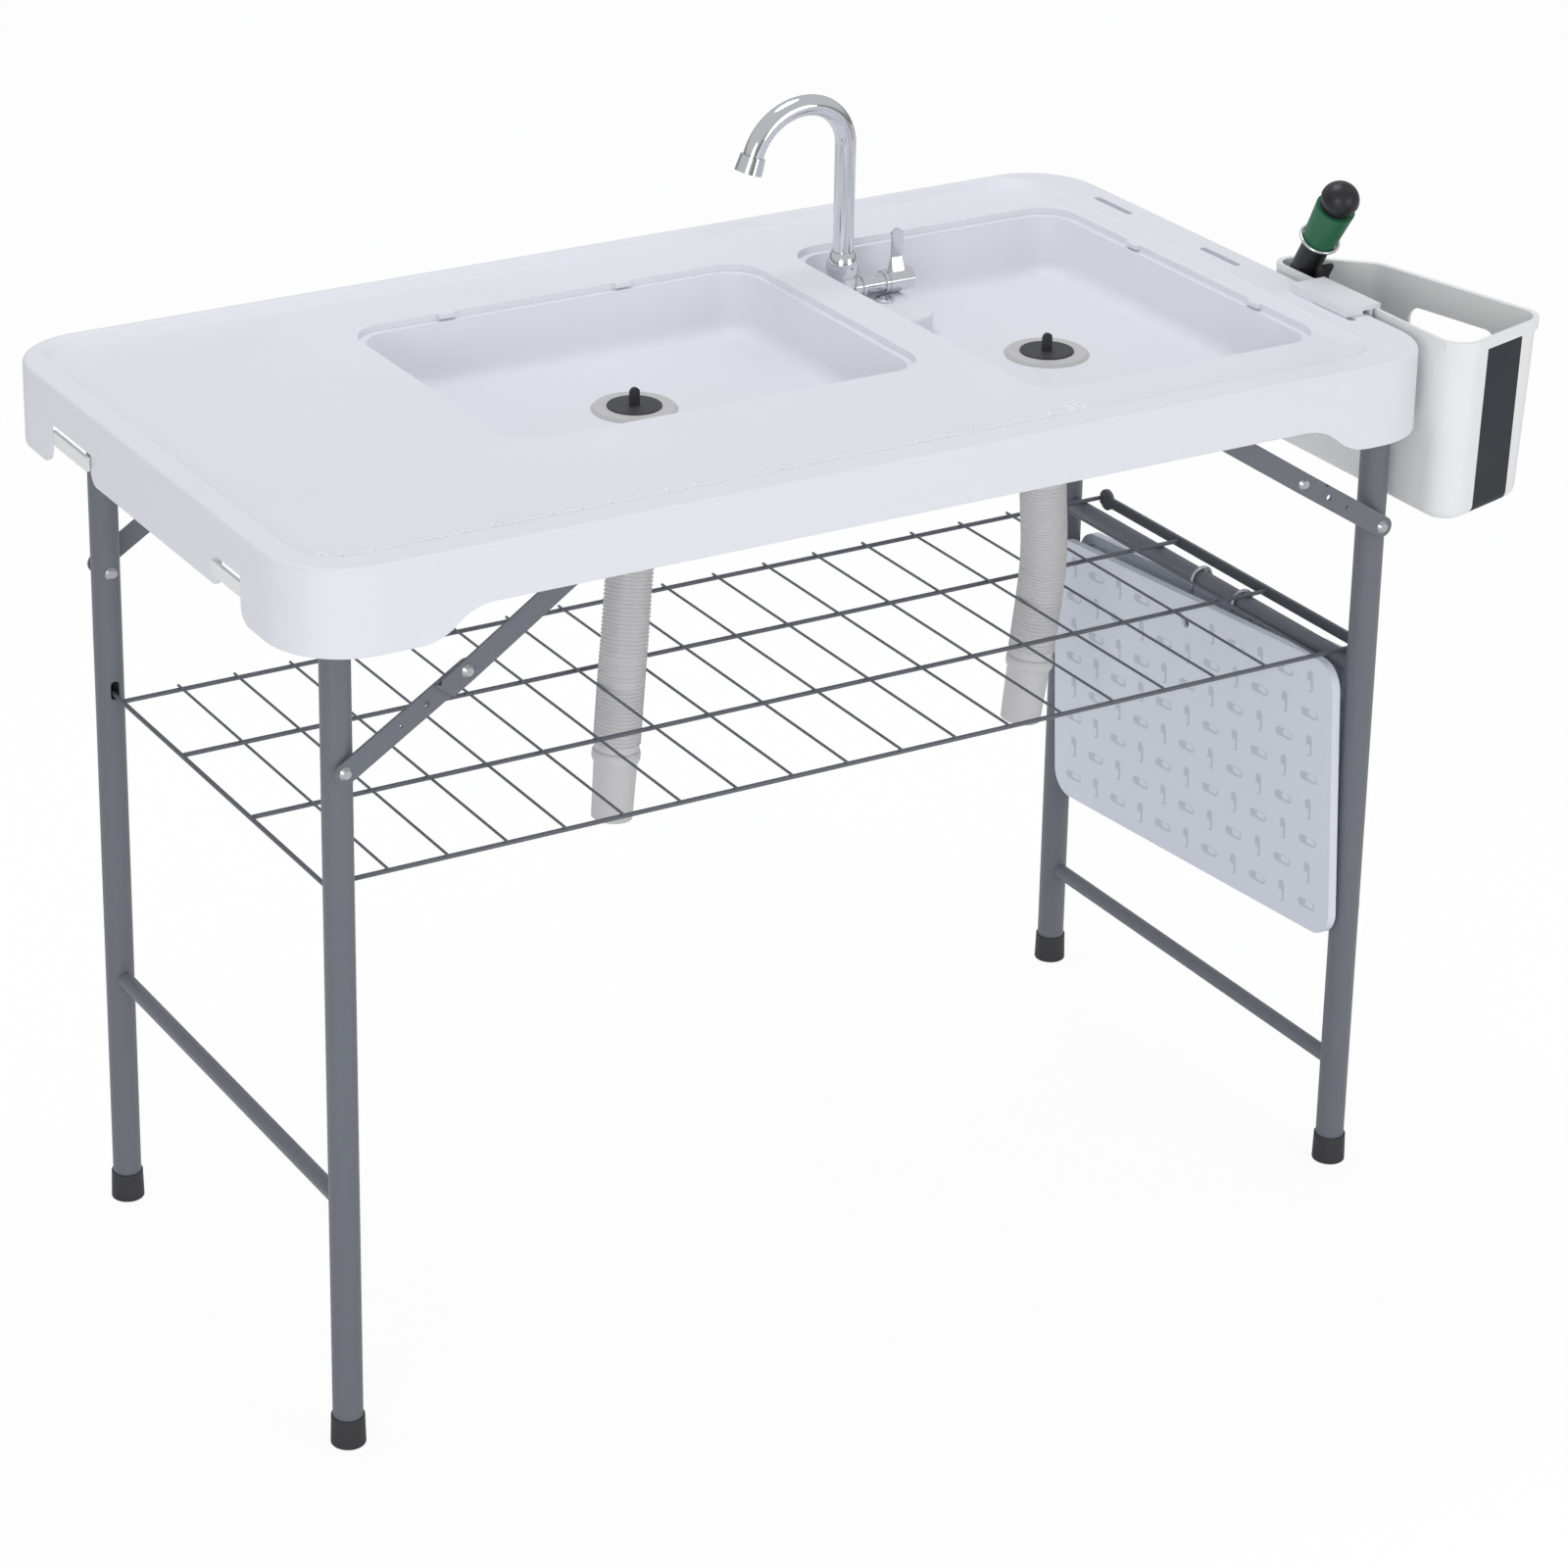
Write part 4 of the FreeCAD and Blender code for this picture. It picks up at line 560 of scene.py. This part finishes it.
def cover_dashes(name, side, middle_y, hook_y, hook_drop, materials):
    """The pressed checkerboard of lying and standing dashes on the side that faces the left."""
    face = RIGHT_X - COVER_OFF - COVER_RIM if side < 0 else RIGHT_X + COVER_OFF
    hang = at(face, hook_y, BAR_Z - hook_drop)
    middle = Vector((hang.x, middle_y, hang.z + COVER_HANG - COVER_SIZE[1] / 2))
    shade = bmesh.new()
    pad = bmesh.new()
    columns, rows = DASH_COUNT
    for column in range(columns):
        for row in range(rows):
            spot = middle + Vector((0, (column - (columns - 1) / 2) * DASH_PITCH[0],
                                    (row - (rows - 1) / 2) * DASH_PITCH[1]))
            if (spot - hang).length > HOOK_CLEAR:
                dash(shade, pad, spot, DASH_ACROSS if (column + row) % 2 == 0 else DASH_UP)
    lean = Matrix.Rotation(math.radians(-COVER_TILT), 4, "X")
    turn = Matrix.Translation(hang) @ lean @ Matrix.Translation(-hang)
    # Dash capsules carry the painted shade; pads keep the cover's own colour
    for work, label, slot in ((shade, "_cover_dashes", "dash_shade"), (pad, "_cover_pads", "cover_plastic")):
        bmesh.ops.transform(work, matrix=turn, verts=work.verts)
        piece = finish_mesh(name + label, work, DASH_ANGLE)
        piece.data.materials.append(materials[slot])
        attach(piece, name + "_cover")


def make_covers(materials):
    for name, side, middle_y, hook_y, hook_drop in COVERS:
        cover_dashes(name, side, middle_y, hook_y, hook_drop, materials)


# Studio

def stage_material():
    """Almost white to the camera, so that only a faint soft shadow shows."""
    material = bpy.data.materials.new("studio_floor")
    material.use_nodes = True
    tree = material.node_tree
    shader = tree.nodes["Principled BSDF"]
    shader.inputs["Base Color"].default_value = FLOOR_COLOUR
    shader.inputs["Roughness"].default_value = FLOOR_ROUGHNESS
    glow = tree.nodes.new("ShaderNodeEmission")
    glow.inputs["Strength"].default_value = FLOOR_GLOW
    seen = tree.nodes.new("ShaderNodeLightPath")
    share = tree.nodes.new("ShaderNodeMath")
    share.operation = "MULTIPLY"
    share.inputs[1].default_value = FLOOR_GLOW_SHARE
    mix = tree.nodes.new("ShaderNodeMixShader")
    links = tree.links
    links.new(seen.outputs["Is Camera Ray"], share.inputs[0])
    links.new(share.outputs[0], mix.inputs["Fac"])
    links.new(shader.outputs["BSDF"], mix.inputs[1])
    links.new(glow.outputs["Emission"], mix.inputs[2])
    links.new(mix.outputs["Shader"], tree.nodes["Material Output"].inputs["Surface"])
    return material


def area_light(name, place, target, size, power):
    data = bpy.data.lights.new(name, "AREA")
    data.shape = "DISK"
    data.size = size
    data.energy = power
    lamp = bpy.data.objects.new(name, data)
    bpy.context.collection.objects.link(lamp)
    way = Vector(target) - Vector(place)
    lamp.matrix_world = Matrix.Translation(place) @ way.to_track_quat("-Z", "Y").to_matrix().to_4x4()


def make_studio():
    work = bmesh.new()
    bmesh.ops.create_grid(work, x_segments=1, y_segments=1, size=FLOOR_SIZE)
    floor = finish_mesh("studio_floor", work)
    floor.data.materials.append(stage_material())
    world = bpy.data.worlds.new("studio")
    world.use_nodes = True
    bpy.context.scene.world = world
    tree = world.node_tree
    back = tree.nodes["Background"]
    place = tree.nodes.new("ShaderNodeTexCoord")
    split = tree.nodes.new("ShaderNodeSeparateXYZ")
    ramp = tree.nodes.new("ShaderNodeValToRGB")
    bands = ramp.color_ramp.elements
    bands[0].position = 0.0
    bands[0].color = WORLD_LOW
    bands[1].position = 1.0
    bands[1].color = WORLD_HIGH
    for position, level in WORLD_BANDS:
        band = bands.new(position)
        band.color = (level, level, level * WORLD_BLUE_SHARE, 1.0)
    half = tree.nodes.new("ShaderNodeMath")
    half.operation = "MULTIPLY_ADD"
    half.inputs[1].default_value = 0.5
    half.inputs[2].default_value = 0.5
    seen = tree.nodes.new("ShaderNodeLightPath")
    mix = tree.nodes.new("ShaderNodeMix")
    mix.data_type = "RGBA"
    mix.inputs["B"].default_value = WHITE
    links = tree.links
    links.new(place.outputs["Generated"], split.inputs[0])
    links.new(split.outputs["Z"], half.inputs[0])
    links.new(half.outputs[0], ramp.inputs["Fac"])
    links.new(ramp.outputs["Color"], mix.inputs["A"])
    links.new(seen.outputs["Is Camera Ray"], mix.inputs["Factor"])
    links.new(mix.outputs["Result"], back.inputs["Color"])
    for light in LIGHTS:
        area_light(*light)
    bpy.context.scene.view_settings.view_transform = "Standard"


make_camera()
materials = make_materials()
make_hoses(materials)
dress_nodes(materials)
make_ruler(materials)
make_covers(materials)
make_studio()
